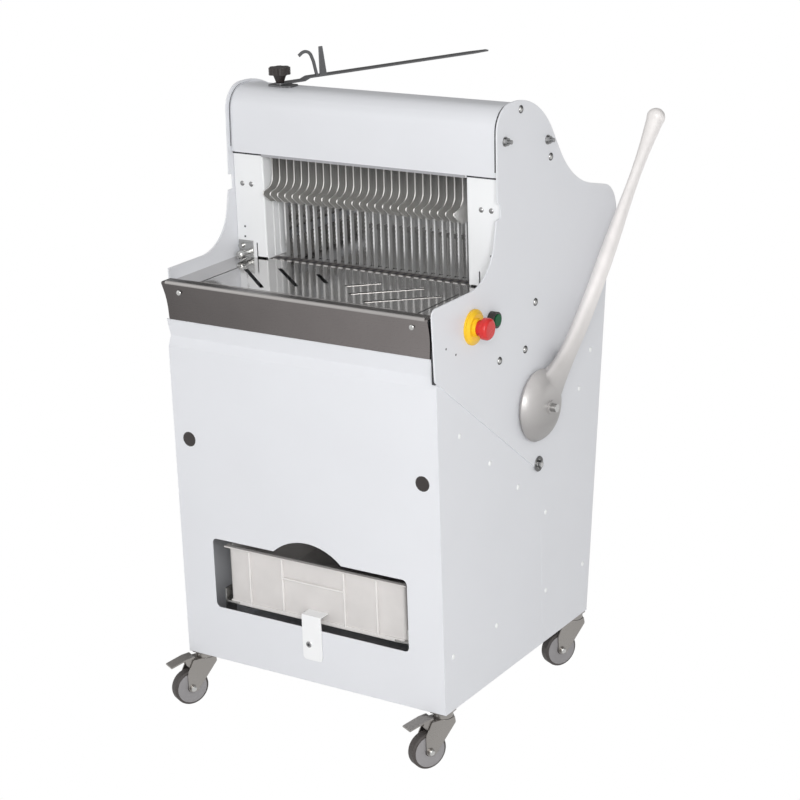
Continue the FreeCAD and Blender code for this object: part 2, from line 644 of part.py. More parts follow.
def front_comb():
    """Bar behind the table whose teeth reach between the blades."""
    top = TABLE_HEIGHT
    bar = box(-COMB_HALF, COMB_HALF, TABLE_BACK, TABLE_BACK + COMB_DEPTH, top - COMB_HEIGHT, top)
    teeth = box(-COMB_HALF, COMB_HALF, TABLE_BACK + COMB_DEPTH, TABLE_BACK + COMB_DEPTH + COMB_TOOTH,
                top - COMB_TOOTH_HEIGHT, top)
    tongue = box(COMB_HALF - COMB_TONGUE, COMB_HALF, TABLE_BACK + COMB_DEPTH,
                 TABLE_BACK + COMB_DEPTH + COMB_TOOTH + COMB_GAP + COMB_TONGUE,
                 top - SHEET - COMB_TOOTH_HEIGHT, top - SHEET)
    comb = fuse([bar, teeth] + pair(tongue))
    front = TABLE_BACK + COMB_DEPTH
    cuts = [box(x - BLADE_SLOT / 2, x + BLADE_SLOT / 2, front, front + COMB_TOOTH + 1,
                top - COMB_HEIGHT - 1, top + 1) for x in at_pitch(BLADE_COUNT)]
    return comb.cut(cuts)


def blade_rows():
    """Blades shared out in turn between the front and the rear frame."""
    xs = at_pitch(BLADE_COUNT)
    return xs[0::2], xs[1::2]


def blade(x):
    low = LOW_BEAM + BEAM_HEIGHT - 2
    half = BLADE_THICKNESS / 2
    return box(x - half, x + half, BLADE_PLANE - BLADE_WIDTH / 2, BLADE_PLANE + BLADE_WIDTH / 2,
               low, TOP_BEAM)


def blade_frame(side, xs):
    """Two beams and two round uprights; hooked holders reach from the beams to the blade plane."""
    middle = BLADE_PLANE + side * FRAME_GAP
    y0, y1 = middle - BEAM_DEPTH / 2, middle + BEAM_DEPTH / 2
    end = UPRIGHT_X + BEAM_END
    pieces = [box(-end, end, y0, y1, z, z + BEAM_HEIGHT) for z in (LOW_BEAM, TOP_BEAM)]
    for x in (-UPRIGHT_X, UPRIGHT_X):
        pieces.append(rod(V(x, middle, LOW_BEAM), Z_AXIS, UPRIGHT_DIAMETER / 2,
                          TOP_BEAM + BEAM_HEIGHT - LOW_BEAM))
    far = BLADE_PLANE - side * BLADE_WIDTH / 2
    near = middle - side * BEAM_DEPTH / 2
    low, high = min(far, near), max(far, near)
    half = HOLDER_WIDTH / 2
    for x in xs:
        pieces.append(box(x - half, x + half, low, high, LOW_BEAM + BEAM_HEIGHT - HOLDER_HEIGHT / 2,
                          LOW_BEAM + BEAM_HEIGHT - 2))
        pieces.append(box(x - half, x + half, low, high, TOP_BEAM, TOP_BEAM + HOLDER_HEIGHT / 2))
    eye_x = side * (ROD_X + ROD_WIDTH / 2)
    pin_z = LOW_BEAM - ROD_EYE
    lug = ROD_WIDTH / 2 + RUNNING * 4
    for x in (eye_x - lug - 6, eye_x + lug):
        plate = prism([(middle - ROD_EYE, LOW_BEAM + 4), (middle - ROD_EYE, pin_z - ROD_EYE, ROD_EYE - 1),
                       (middle + ROD_EYE, pin_z - ROD_EYE, ROD_EYE - 1), (middle + ROD_EYE, LOW_BEAM + 4)],
                      "x", x, x + 6)
        pieces.append(plate)
    pieces.append(across(CRANK_PIN_DIAMETER / 2, middle, pin_z, eye_x - lug - 6, eye_x + lug + 6))
    return fuse(pieces)


def slide_guides():
    """Nylon blocks at both sides, bored for the uprights of both frames."""
    blocks = []
    y0 = BLADE_PLANE - FRAME_GAP - UPRIGHT_DIAMETER / 2 - 1
    y1 = BLADE_PLANE + FRAME_GAP + UPRIGHT_DIAMETER / 2 + 1
    inner = UPRIGHT_X - UPRIGHT_DIAMETER / 2 - 9
    outer = UPRIGHT_X + UPRIGHT_DIAMETER / 2 + 5
    for z, wall in ((GUIDE_LOW, INSIDE), (GUIDE_HIGH, INSIDE)):
        block = box(inner, outer, y0, y1, z, z + GUIDE_HEIGHT)
        ear = box(inner, wall, y0 - 8, y0, z, z + GUIDE_HEIGHT)
        bores = [rod(V(UPRIGHT_X, BLADE_PLANE + side * FRAME_GAP, z - 1), Z_AXIS,
                     UPRIGHT_DIAMETER / 2 + RUNNING, GUIDE_HEIGHT + 2) for side in (-1, 1)]
        blocks += pair(fuse([block, ear]).cut(bores))
    return blocks


def finger(x):
    """One press finger: eye, stem, swept toe and rounded heel."""
    y, z = FINGER_SHAFT_Y, FINGER_SHAFT_Z
    top = z + FINGER_EYE - 0.5
    points = [(FINGER_STEM, top, 11.0), (y + FINGER_EYE - 1, top, 11.0),
              (FINGER_HEEL - 2, FINGER_SHAFT_Z - 46, 40.0), (FINGER_HEEL + 1, FINGER_FOOT_Z, 17.0),
              (FINGER_TOE + 20, FINGER_FOOT_Z, 20.0), (FINGER_TOE - 12, FINGER_TOE_Z + 1, 5.0),
              (FINGER_STEM - 2, FINGER_TOE_Z + 9, 22.0)]
    half = FINGER_THICKNESS / 2
    plate = prism(points, "x", x - half, x + half)
    return plate.cut(across(FINGER_SHAFT_DIAMETER / 2, y, z, x - 3, x + 3))


def finger_shaft():
    end = COLUMN_INNER + SHAFT_OVERHANG
    return across(FINGER_SHAFT_DIAMETER / 2, FINGER_SHAFT_Y, FINGER_SHAFT_Z, -end, end)


# ---- blade drive ---------------------------------------------------------------------------------
def crank_shaft():
    end = CRANK_DISC_X + CRANK_DISC
    shaft = across(CRANK_SHAFT_DIAMETER / 2, CRANK_Y, CRANK_Z, -end, end)
    discs = [across(CRANK_DISC_RADIUS, CRANK_Y, CRANK_Z, x, x + CRANK_DISC)
             for x in (CRANK_DISC_X, -end)]
    return fuse([shaft] + discs)


def crank_bearings():
    blocks = []
    half = BEARING_RADIUS
    profile = [(CRANK_Y - half - 14, SHELF_HEIGHT), (CRANK_Y + half + 14, SHELF_HEIGHT),
               (CRANK_Y + half + 14, SHELF_HEIGHT + 12, 4.0), (CRANK_Y + half, SHELF_HEIGHT + 16, 8.0),
               (CRANK_Y + half, CRANK_Z + half, half - 1), (CRANK_Y - half, CRANK_Z + half, half - 1),
               (CRANK_Y - half, SHELF_HEIGHT + 16, 8.0), (CRANK_Y - half - 14, SHELF_HEIGHT + 12, 4.0)]
    block = prism(profile, "x", BEARING_X, BEARING_X + BEARING_LENGTH)
    block = block.cut(across(CRANK_SHAFT_DIAMETER / 2 + RUNNING, CRANK_Y, CRANK_Z, BEARING_X - 1,
                             BEARING_X + BEARING_LENGTH + 1))
    blocks += pair(block)
    return blocks


def pulley(y, z, radius, bore):
    half = PULLEY_WIDTH / 2
    wheel = across(radius, y, z, -half, half)
    flanges = [across(radius + 3, y, z, x, x + 2) for x in (-half, half - 2)]
    return fuse([wheel] + flanges).cut(across(bore, y, z, -half - 1, half + 1))


def crank_pulley():
    return pulley(CRANK_Y, CRANK_Z, PULLEY_RADIUS, CRANK_SHAFT_DIAMETER / 2)


def motor_pulley():
    return pulley(MOTOR_Y, MOTOR_Z, MOTOR_PULLEY_RADIUS, MOTOR_SHAFT_DIAMETER / 2)


def belt_loop(clearance, start, end):
    """Solid inside a loop drawn tight round both pulleys at a clearance."""
    big, small = PULLEY_RADIUS + clearance, MOTOR_PULLEY_RADIUS + clearance
    a, b = V(0, CRANK_Y, CRANK_Z), V(0, MOTOR_Y, MOTOR_Z)
    along = (b - a)
    gap = along.Length
    along.normalize()
    up = X_AXIS.cross(along)
    lean = (big - small) / gap
    rise = math.sqrt(1 - lean ** 2)
    upper, lower = along * lean + up * rise, along * lean - up * rise
    shift = V(start, 0, 0)
    a, b = a + shift, b + shift
    edges = [Part.makeLine(a + upper * big, b + upper * small),
             Part.Arc(b + upper * small, b + along * small, b + lower * small).toShape(),
             Part.makeLine(b + lower * small, a + lower * big),
             Part.Arc(a + lower * big, a - along * big, a + upper * big).toShape()]
    return Part.Face(Part.Wire(edges)).extrude(V(end - start, 0, 0))


def drive_belt():
    half = BELT_WIDTH / 2
    outer = belt_loop(BELT_GAP + BELT_THICKNESS, -half, half)
    return outer.cut(belt_loop(BELT_GAP, -half - 1, half + 1))


def motor():
    body = across(MOTOR_RADIUS, MOTOR_Y, MOTOR_Z, MOTOR_X + 12, MOTOR_X + MOTOR_LENGTH)
    nose = across(MOTOR_RADIUS * 0.6, MOTOR_Y, MOTOR_Z, MOTOR_X, MOTOR_X + 12)
    foot = box(MOTOR_X + 40, MOTOR_X + MOTOR_LENGTH - 30, MOTOR_Y - 55, MOTOR_Y + 55,
               SHELF_HEIGHT, SHELF_HEIGHT + 8)
    web = box(MOTOR_X + 55, MOTOR_X + MOTOR_LENGTH - 45, MOTOR_Y - 30, MOTOR_Y + 30,
              SHELF_HEIGHT + 8, MOTOR_Z)
    case = fuse([body, nose, foot, web])
    return case.cut(across(MOTOR_SHAFT_DIAMETER / 2 + RUNNING, MOTOR_Y, MOTOR_Z,
                           MOTOR_X - 1, MOTOR_X + 40))


def motor_shaft():
    return across(MOTOR_SHAFT_DIAMETER / 2, MOTOR_Y, MOTOR_Z, -PULLEY_WIDTH / 2 - 3, MOTOR_X + 39)


def connecting_rod(side):
    """Rod with an eye on the frame's pin and its own stub pin towards the crank disc."""
    y = BLADE_PLANE + side * FRAME_GAP
    x0 = ROD_X if side > 0 else -ROD_X - ROD_WIDTH
    x1 = x0 + ROD_WIDTH
    top = LOW_BEAM - ROD_EYE
    eyes = [across(ROD_EYE - 1, y, z, x0, x1) for z in (top, CRANK_Z)]
    bar = box(x0 + 1, x1 - 1, y - 7, y + 7, CRANK_Z, top)
    pin_start = CRANK_DISC_X + CRANK_DISC + PIN_GAP
    pin = across(CRANK_PIN_DIAMETER / 2, y, CRANK_Z, *sorted((side * pin_start, side * (ROD_X + 1))))
    body = fuse(eyes + [bar, pin])
    return body.cut(across(CRANK_PIN_DIAMETER / 2 + RUNNING, y, top, x0 - 1, x1 + 1))


# ---- rear table, pusher and lever ----------------------------------------------------------------
def rear_table():
    """Folded loading tray with slotted side walls and four blocks for the guide rods."""
    top, half = TABLE_HEIGHT, BAY_WIDTH / 2
    front = TABLE_BACK + COMB_DEPTH + COMB_TOOTH + COMB_GAP
    floor = box(-half, half, front, REAR_TABLE_BACK, top - SHEET, top)
    wall = box(half, half + 2, WALL_FRONT, REAR_TABLE_BACK, top - SHEET, top + WALL_HEIGHT)
    window = box(half - 1, half + 3, WALL_FRONT + GUIDE_BLOCK + 3, REAR_TABLE_BACK - GUIDE_BLOCK - 1,
                 top + WALL_SLOT_LOW, top + WALL_SLOT_HIGH)
    wall = wall.cut(window)
    pieces = [floor] + pair(wall)
    reach = GUIDE_ROD_X + SLEEVE_RADIUS
    for y in (WALL_FRONT + 2, REAR_TABLE_BACK - GUIDE_BLOCK):
        block = box(half, reach, y, y + GUIDE_BLOCK, GUIDE_ROD_Z - 12, GUIDE_ROD_Z + 12)
        bore = rod(V(GUIDE_ROD_X, y - 1, GUIDE_ROD_Z), Y_AXIS, GUIDE_ROD_DIAMETER / 2, GUIDE_BLOCK + 2)
        pieces += pair(block.cut(bore))
    stay = box(-INSIDE, INSIDE, REAR_TABLE_BACK - 14, REAR_TABLE_BACK, top - SHEET * 2, top - SHEET)
    pieces.append(stay)
    beam = box(-half, half, front + 30, front + 44, top - SHEET * 2 - 12, top - SHEET)
    pieces.append(beam)
    return fuse(pieces)


def guide_rods():
    start = WALL_FRONT + 2
    length = REAR_TABLE_BACK - start
    return [rod(V(x, start, GUIDE_ROD_Z), Y_AXIS, GUIDE_ROD_DIAMETER / 2, length)
            for x in (-GUIDE_ROD_X, GUIDE_ROD_X)]


def arm_pin():
    """Centre (Y, Z) of the inner arms' end pins at rest."""
    angle = math.radians(INNER_ARM_ANGLE)
    return LEVER_Y + INNER_ARM_REACH * math.cos(angle), LEVER_Z + INNER_ARM_REACH * math.sin(angle)


def pusher():
    """Cross beam on two sleeves, each with a hanging plate beside its arm's pin."""
    z0 = GUIDE_ROD_Z - PUSHER_BEAM_HEIGHT / 2 + 1
    beam = box(-GUIDE_ROD_X, GUIDE_ROD_X, PUSHER_Y, PUSHER_Y + PUSHER_BEAM, z0,
               z0 + PUSHER_BEAM_HEIGHT - 2)
    pin_y, pin_z = arm_pin()
    pieces = [beam]
    edge = GUIDE_ROD_X + SLEEVE_RADIUS
    for side in (-1, 1):
        pieces.append(rod(V(side * GUIDE_ROD_X, PUSHER_Y - 2, GUIDE_ROD_Z), Y_AXIS, SLEEVE_RADIUS,
                          SLEEVE_LENGTH))
        plate = prism([(pin_y - 15, pin_z - 16, 8.0), (pin_y + 15, pin_z - 16, 8.0),
                       (pin_y + 26, GUIDE_ROD_Z - 18, 20.0), (PUSHER_Y + 30, GUIDE_ROD_Z - 10, 6.0),
                       (PUSHER_Y + 30, GUIDE_ROD_Z + 10, 6.0), (PUSHER_Y - 10, GUIDE_ROD_Z + 10, 6.0),
                       (pin_y - 15, pin_z + 20, 20.0)], "x", edge + 2, edge + 5)
        pad = box(edge - 4, edge + 2, PUSHER_Y, PUSHER_Y + 28, GUIDE_ROD_Z - 7, GUIDE_ROD_Z + 7)
        hanger = fuse([plate, pad])
        pieces.append(hanger if side > 0 else mirrored(hanger))
    bores = [rod(V(side * GUIDE_ROD_X, PUSHER_Y - 3, GUIDE_ROD_Z), Y_AXIS,
                 GUIDE_ROD_DIAMETER / 2 + RUNNING, SLEEVE_LENGTH + 2) for side in (-1, 1)]
    return fuse(pieces).cut(bores)


def pusher_fins():
    """Fins that follow the loaf between the blades."""
    z0 = TABLE_HEIGHT + FIN_CLEARANCE
    half = FIN_THICKNESS / 2
    return [prism([(PUSHER_Y, z0), (PUSHER_Y, z0 + FIN_HEIGHT), (PUSHER_Y - FIN_LENGTH, z0 + FIN_HEIGHT, 8.0),
                   (PUSHER_Y - FIN_LENGTH, z0)], "x", x - half, x + half)
            for x in at_pitch(FIN_COUNT)]


def lever_section(along, x, half_x, half_n):
    """Elliptic section of the arm at a distance from the axle, centred on a given X."""
    angle = math.radians(LEVER_ANGLE)
    d = V(0, math.cos(angle), math.sin(angle))
    across_arm = V(0, -math.sin(angle), math.cos(angle))
    centre = V(x, LEVER_Y, LEVER_Z) + d * along
    ellipse = Part.Ellipse(centre + across_arm * half_n, centre + X_AXIS * half_x, centre)
    return Part.Wire(ellipse.toShape())


def lever():
    """Cast lever: domed hub, waisted arm of elliptic section and ball-like knob."""
    angle = math.radians(LEVER_ANGLE)
    d = V(0, math.cos(angle), math.sin(angle))
    top = V(HUB_BACK + HUB_DEPTH, HUB_FLAT - 8, 0)
    curve = Part.Arc(V(HUB_BACK + 6, HUB_RADIUS, 0), V(HUB_BACK + HUB_DEPTH * 0.72, HUB_RADIUS - 13, 0),
                     top).toShape()
    edges = [Part.makeLine(V(HUB_BACK, 0, 0), V(HUB_BACK, HUB_RADIUS - 4, 0)),
             Part.makeLine(V(HUB_BACK, HUB_RADIUS - 4, 0), V(HUB_BACK + 6, HUB_RADIUS, 0)),
             curve, Part.makeLine(top, V(top.x, 0, 0)),
             Part.makeLine(V(top.x, 0, 0), V(HUB_BACK, 0, 0))]
    hub = Part.Face(Part.Wire(edges)).revolve(V(0, 0, 0), X_AXIS, 360)
    hub.translate(V(0, LEVER_Y, LEVER_Z))
    knob_centre = LEVER_REACH - KNOB_RADIUS
    stations = [(0.0, ARM_X - 17, 13.0, 46.0), (52.0, ARM_X - 14, 13.0, 36.0),
                (95.0, ARM_X - 9, 13.0, 26.0), (150.0, ARM_X - 4, 13.5, 21.0),
                (250.0, ARM_X, 14.0, 18.0), (400.0, ARM_X, 12.5, 15.5), (540.0, ARM_X, 10.5, 12.5),
                (knob_centre - 38, ARM_X, 14.5, 15.0), (knob_centre, ARM_X, 17.5, 18.0)]
    arm = Part.makeLoft([lever_section(*s) for s in stations], True, False)
    ball = Part.makeSphere(KNOB_RADIUS, V(ARM_X, LEVER_Y, LEVER_Z) + d * knob_centre)
    boss = across(13.0, LEVER_Y, LEVER_Z, HUB_BACK, HUB_BACK + HUB_DEPTH + 3)
    body = fuse([hub, arm, ball, boss])
    return body.cut(across(LEVER_SHAFT_DIAMETER / 2 - 2, LEVER_Y, LEVER_Z, HUB_BACK - 1,
                           HUB_BACK + HUB_DEPTH + 20))


def lever_shaft():
    """Cross shaft with a reduced end that shows through the hub."""
    main = across(LEVER_SHAFT_DIAMETER / 2, LEVER_Y, LEVER_Z, -CHEEK_OUT - BUSH_FLANGE - 3, HUB_BACK)
    end = across(LEVER_SHAFT_DIAMETER / 2 - 2, LEVER_Y, LEVER_Z, HUB_BACK - 1, HUB_BACK + HUB_DEPTH + 14)
    return fuse([main, end])


def inner_arms():
    """Arms clamped on the cross shaft; their end pins point at the pusher's hanging plates."""
    pin_y, pin_z = arm_pin()
    arms = []
    x0, x1 = INNER_ARM_X, INNER_ARM_X + INNER_ARM
    clamp = across(LEVER_SHAFT_DIAMETER / 2 + 8, LEVER_Y, LEVER_Z, x0, x1)
    end = across(INNER_ARM_END, pin_y, pin_z, x0, x1)
    start, tip = V(x0 + 1, LEVER_Y, LEVER_Z), V(x0 + 1, pin_y, pin_z)
    side = (tip - start).normalize().cross(X_AXIS)
    bar = Part.Face(Part.makePolygon([start + side * 14, tip + side * 9, tip - side * 9,
                                      start - side * 14, start + side * 14]))
    bar = bar.extrude(X_AXIS * (INNER_ARM - 2))
    pin = across(5.0, pin_y, pin_z, GUIDE_ROD_X + SLEEVE_RADIUS + 6, x0 + 1)
    arm = fuse([clamp, end, bar, pin])
    arm = arm.cut(across(LEVER_SHAFT_DIAMETER / 2, LEVER_Y, LEVER_Z, x0 - 1, x1 + 1))
    arms += pair(arm)
    return arms


def lever_bushes():
    bush = fuse([across(BUSH_RADIUS, LEVER_Y, LEVER_Z, INSIDE - 4, CHEEK_OUT),
                 across(BUSH_FLANGE_RADIUS, LEVER_Y, LEVER_Z, CHEEK_OUT, CHEEK_OUT + BUSH_FLANGE)])
    bush = bush.cut(across(LEVER_SHAFT_DIAMETER / 2 + RUNNING, LEVER_Y, LEVER_Z, INSIDE - 5,
                           CHEEK_OUT + BUSH_FLANGE + 1))
    return pair(bush)


# ---- crumb drawer --------------------------------------------------------------------------------
def crumb_drawer():
    """Moulded tray: rim flange, ribs on the front face, hollow inside."""
    half = DRAWER_WIDTH / 2
    front, back = DRAWER_FRONT, DRAWER_FRONT + DRAWER_DEPTH
    body = box(-half, half, front, back, DRAWER_BOTTOM, DRAWER_TOP)
    upright = [e for e in body.Edges if abs(e.Vertexes[0].Z - e.Vertexes[1].Z) > 1]
    body = body.makeFillet(8.0, upright)
    hollow = box(-half + DRAWER_WALL, half - DRAWER_WALL, front + DRAWER_WALL, back - DRAWER_WALL,
                 DRAWER_BOTTOM + DRAWER_WALL, DRAWER_TOP + 1)
    upright = [e for e in hollow.Edges if abs(e.Vertexes[0].Z - e.Vertexes[1].Z) > 1]
    hollow = hollow.makeFillet(8.0 - DRAWER_WALL, upright)
    rim = box(-half - DRAWER_RIM, half + DRAWER_RIM, front - DRAWER_RIM, back + DRAWER_RIM,
              DRAWER_TOP - DRAWER_WALL, DRAWER_TOP)
    ribs = [box(x - DRAWER_WALL / 2, x + DRAWER_WALL / 2, front - DRAWER_RIB, front + 1,
                DRAWER_BOTTOM, DRAWER_TOP - DRAWER_WALL) for x in DRAWER_RIBS]
    bar = box(DRAWER_RIBS[1], DRAWER_RIBS[2], front - DRAWER_RIB, front + 1,
              DRAWER_BAR - DRAWER_WALL / 2, DRAWER_BAR + DRAWER_WALL / 2)
    return fuse([body, rim] + ribs + [bar]).cut(hollow)


def drawer_runners():
    """Two angle rails under the drawer's sides, hung from posts on the base plate."""
    half = DRAWER_WIDTH / 2
    top = DRAWER_BOTTOM - RUNNER_GAP
    rails = []
    y0, y1 = SHEET + LIP, DRAWER_FRONT + DRAWER_DEPTH + 20
    floor = box(half - 22, half + 10, y0, y1, top - 3, top)
    fence = box(half + 7, half + 10, y0, y1, top, top + 25)
    posts = [box(half + 7, half + 10, y, y + 30, UNDERSIDE + BASE_SHEET, top) for y in (y0, y1 - 30)]
    foot = [box(half - 10, half + 7, y, y + 30, UNDERSIDE + BASE_SHEET,
                UNDERSIDE + BASE_SHEET + 2) for y in (y0, y1 - 30)]
    rail = fuse([floor, fence] + posts + foot)
    rails += pair(rail)
    return rails


def drawer_bracket():
    """Sheet bracket that holds the drawer: a leg outside the panel, a flange in to the drawer."""
    x0, x1 = BRACKET_X - BRACKET_WIDTH / 2, BRACKET_X + BRACKET_WIDTH / 2
    back = -BRACKET_STANDOFF
    front = back - BRACKET_SHEET
    leg = prism([(x0, BRACKET_BOTTOM, 8.0), (x1, BRACKET_BOTTOM, 8.0), (x1, BRACKET_TOP),
                 (x0, BRACKET_TOP)], "y", front, back)
    flange = box(x0, x1, front, DRAWER_FRONT, BRACKET_TOP - BRACKET_SHEET, BRACKET_TOP)
    hole = rod(V(BRACKET_SCREW_X, front - 1, BRACKET_SCREW_Z), Y_AXIS, SCREW_HOLE / 2 - 1, 6)
    return fuse([leg, flange]).cut(hole)


def drawer_screw():
    y = -BRACKET_STANDOFF - BRACKET_SHEET
    x = BRACKET_SCREW_X
    head = rod(V(x, y - 3, BRACKET_SCREW_Z), Y_AXIS, 6.0, 3.0)
    shank = rod(V(x, y, BRACKET_SCREW_Z), Y_AXIS, SCREW_HOLE / 2 - 1, 9.0)
    return fuse([head, shank])


# ---- controls ------------------------------------------------------------------------------------
def stop_base():
    """Yellow ring with a collar that guides the mushroom's stem."""
    x = CHEEK_OUT
    plate = across(STOP_BASE_RADIUS, STOP_Y, STOP_Z, x, x + 4)
    cone = Part.makeCone(STOP_BASE_RADIUS - 2, STOP_BASE_RADIUS - 8, STOP_BASE - 4,
                         V(x + 4, STOP_Y, STOP_Z), X_AXIS)
    collar = across(STOP_NECK_RADIUS + 3, STOP_Y, STOP_Z, x + STOP_BASE - 1, x + STOP_BASE + 5)
    bore = across(STOP_NECK_RADIUS + BUTTON_CLEARANCE, STOP_Y, STOP_Z, x + 2, x + 40)
    return fuse([plate, cone, collar]).cut(bore)


def stop_button():
    """Red mushroom on its stem, free to go in by its press."""
    x = CHEEK_OUT + 2 + STOP_PRESS + 0.5
    head_x = CHEEK_OUT + STOP_BASE + STOP_NECK
    stem = across(STOP_NECK_RADIUS, STOP_Y, STOP_Z, x, head_x)
    head = across(STOP_HEAD_RADIUS, STOP_Y, STOP_Z, head_x, head_x + STOP_HEAD)
    rims = [e for e in head.Edges if abs(e.CenterOfMass.x - head_x - STOP_HEAD) < 0.01]
    head = head.makeFillet(6.0, rims)
    return fuse([stem, head])


def start_bezel():
    x = CHEEK_OUT
    body = across(START_BEZEL_RADIUS, START_Y, START_Z, x, x + START_BEZEL)
    bore = across(START_RADIUS + BUTTON_CLEARANCE, START_Y, START_Z, x + 1, x + 20)
    return body.cut(bore)


def start_button():
    x = CHEEK_OUT + 1 + START_PRESS + 0.3
    return across(START_RADIUS, START_Y, START_Z, x, CHEEK_OUT + START_BEZEL + 2)


# ---- bag arm -------------------------------------------------------------------------------------
BAG_DECK = CHEEK_CROWN - HOOD_INSET       # hood's flat crown


def bag_base():
    """Stud plate on the hood's crown."""
    plate = prism([(BAG_X - 20, BAG_Y - BAG_BASE_DEPTH / 2, 6.0),
                   (BAG_X - 20 + BAG_BASE_LENGTH, BAG_Y - BAG_BASE_DEPTH / 2, 6.0),
                   (BAG_X - 20 + BAG_BASE_LENGTH, BAG_Y + BAG_BASE_DEPTH / 2, 6.0),
                   (BAG_X - 20, BAG_Y + BAG_BASE_DEPTH / 2, 6.0)], "z", BAG_DECK, BAG_DECK + BAG_BASE)
    stud = rod(V(BAG_X, BAG_Y, BAG_DECK + BAG_BASE), Z_AXIS, BAG_STUD_DIAMETER / 2,
               BAG_BAR + BAG_KNOB_NECK + 6)
    return fuse([plate, stud])


def bag_arm():
    """Flat bar with a joggle and two tabs folded up from its right edge: a hook and a spike."""
    z = BAG_DECK + BAG_BASE + 0.1
    half = BAG_BAR_WIDTH / 2
    side = [(-12.0, z), (BAG_TABS - 12, z, 8.0), (BAG_TABS, z + BAG_RISE, 8.0),
            (BAG_BAR_LENGTH, z + BAG_RISE)]
    bar = prism(folded(side, BAG_BAR), "y", -half, half)
    nose = fuse([box(-20, 0, -half, half, z - 1, z + BAG_BAR + 1)])
    nose = nose.cut(rod(V(0, 0, z - 2), Z_AXIS, half, BAG_BAR + 4))
    tip = BAG_BAR_LENGTH
    trims = [prism([(tip - 40, half), (tip + 1, half - 5), (tip + 1, half + 5), (tip - 40, half + 5)],
                   "z", z, z + BAG_RISE + BAG_BAR + 1),
             prism([(tip - 40, -half), (tip - 40, -half - 5), (tip + 1, -half - 5),
                    (tip + 1, -half + 5)], "z", z, z + BAG_RISE + BAG_BAR + 1)]
    low = z + BAG_RISE
    hook_path = [(BAG_TABS + 13, low), (BAG_TABS + 6, low + BAG_HOOK_HEIGHT * 0.55, 30.0),
                 (BAG_TABS - 4, low + BAG_HOOK_HEIGHT, 12.0),
                 (BAG_TABS - 22, low + BAG_HOOK_HEIGHT - 12)]
    hook = prism(folded(hook_path[::-1], 6.0), "y", -half, -half + BAG_BAR)
    spike = prism([(BAG_TABS + 22, low), (BAG_TABS + 38, low),
                   (BAG_TABS + 30, low + BAG_SPIKE_HEIGHT), (BAG_TABS + 22, low + BAG_SPIKE_HEIGHT)],
                  "y", -half, -half + BAG_BAR)
    arm = fuse([bar.cut([nose] + trims), hook, spike])
    arm = arm.cut(rod(V(0, 0, z - 5), Z_AXIS, BAG_STUD_DIAMETER / 2 + RUNNING * 2, 20))
    arm.rotate(V(0, 0, 0), Z_AXIS, math.degrees(math.atan2(BAG_AIM[1], BAG_AIM[0])))
    arm.translate(V(BAG_X, BAG_Y, 0))
    return arm


def bag_knob():
    """Lobed clamping knob on the stud."""
    z = BAG_DECK + BAG_BASE + BAG_BAR + 0.4
    neck = Part.makeCone(BAG_KNOB_RADIUS * 0.36, BAG_KNOB_RADIUS * 0.62, BAG_KNOB_NECK, V(0, 0, z))
    head = rod(V(0, 0, z + BAG_KNOB_NECK), Z_AXIS, BAG_KNOB_RADIUS, BAG_KNOB_HEAD)
    lobes = []
    for i in range(7):
        angle = math.radians(i * 360 / 7)
        lobes.append(rod(V(math.cos(angle), math.sin(angle), 0) * (BAG_KNOB_RADIUS + 4)
                         + V(0, 0, z), Z_AXIS, 7.0, BAG_KNOB_NECK + BAG_KNOB_HEAD + 1))
    knob = fuse([neck, head.cut(lobes)])
    knob = knob.cut(rod(V(0, 0, z - 1), Z_AXIS, BAG_STUD_DIAMETER / 2 + RUNNING,
                        BAG_KNOB_NECK + 7))
    knob.translate(V(BAG_X, BAG_Y, 0))
    return knob


# ---- casters -------------------------------------------------------------------------------------
CASTERS = {"front_left": (-CASTER_X, CASTER_FRONT_Y), "front_right": (CASTER_X, CASTER_FRONT_Y),
           "rear_left": (-CASTER_X, CASTER_REAR_Y), "rear_right": (CASTER_X, CASTER_REAR_Y)}
FORK_TOP = UNDERSIDE - CASTER_PLATE - CASTER_RACE
FORK_HALF = WHEEL_WIDTH / 2 + FORK_GAP
AXLE_Z = FLOOR + WHEEL_RADIUS


def caster_head():
    half = CASTER_PLATE_HALF
    plate = prism([(-half, -half, 6.0), (half, -half, 6.0), (half, half, 6.0), (-half, half, 6.0)],
                  "z", UNDERSIDE - CASTER_PLATE, UNDERSIDE)
    race = rod(V(0, 0, FORK_TOP), Z_AXIS, CASTER_RACE_RADIUS, CASTER_RACE)
    pin = rod(V(0, 0, FORK_TOP - 8), Z_AXIS, 5.0, 8.0)
    return fuse([plate, race, pin])


def caster_heads():
    heads = []
    for x, y in CASTERS.values():
        head = caster_head()
        head.translate(V(x, y, 0))
        heads.append(head)
    return heads


def aimed(shape, name):
    """Turns a caster piece, modelled trailing towards +X, and moves it under its head."""
    shape = shape.copy()
    shape.rotate(V(0, 0, 0), Z_AXIS, math.degrees(math.atan2(CASTER_AIM[1], CASTER_AIM[0])))
    x, y = CASTERS[name]
    shape.translate(V(x, y, 0))
    return shape


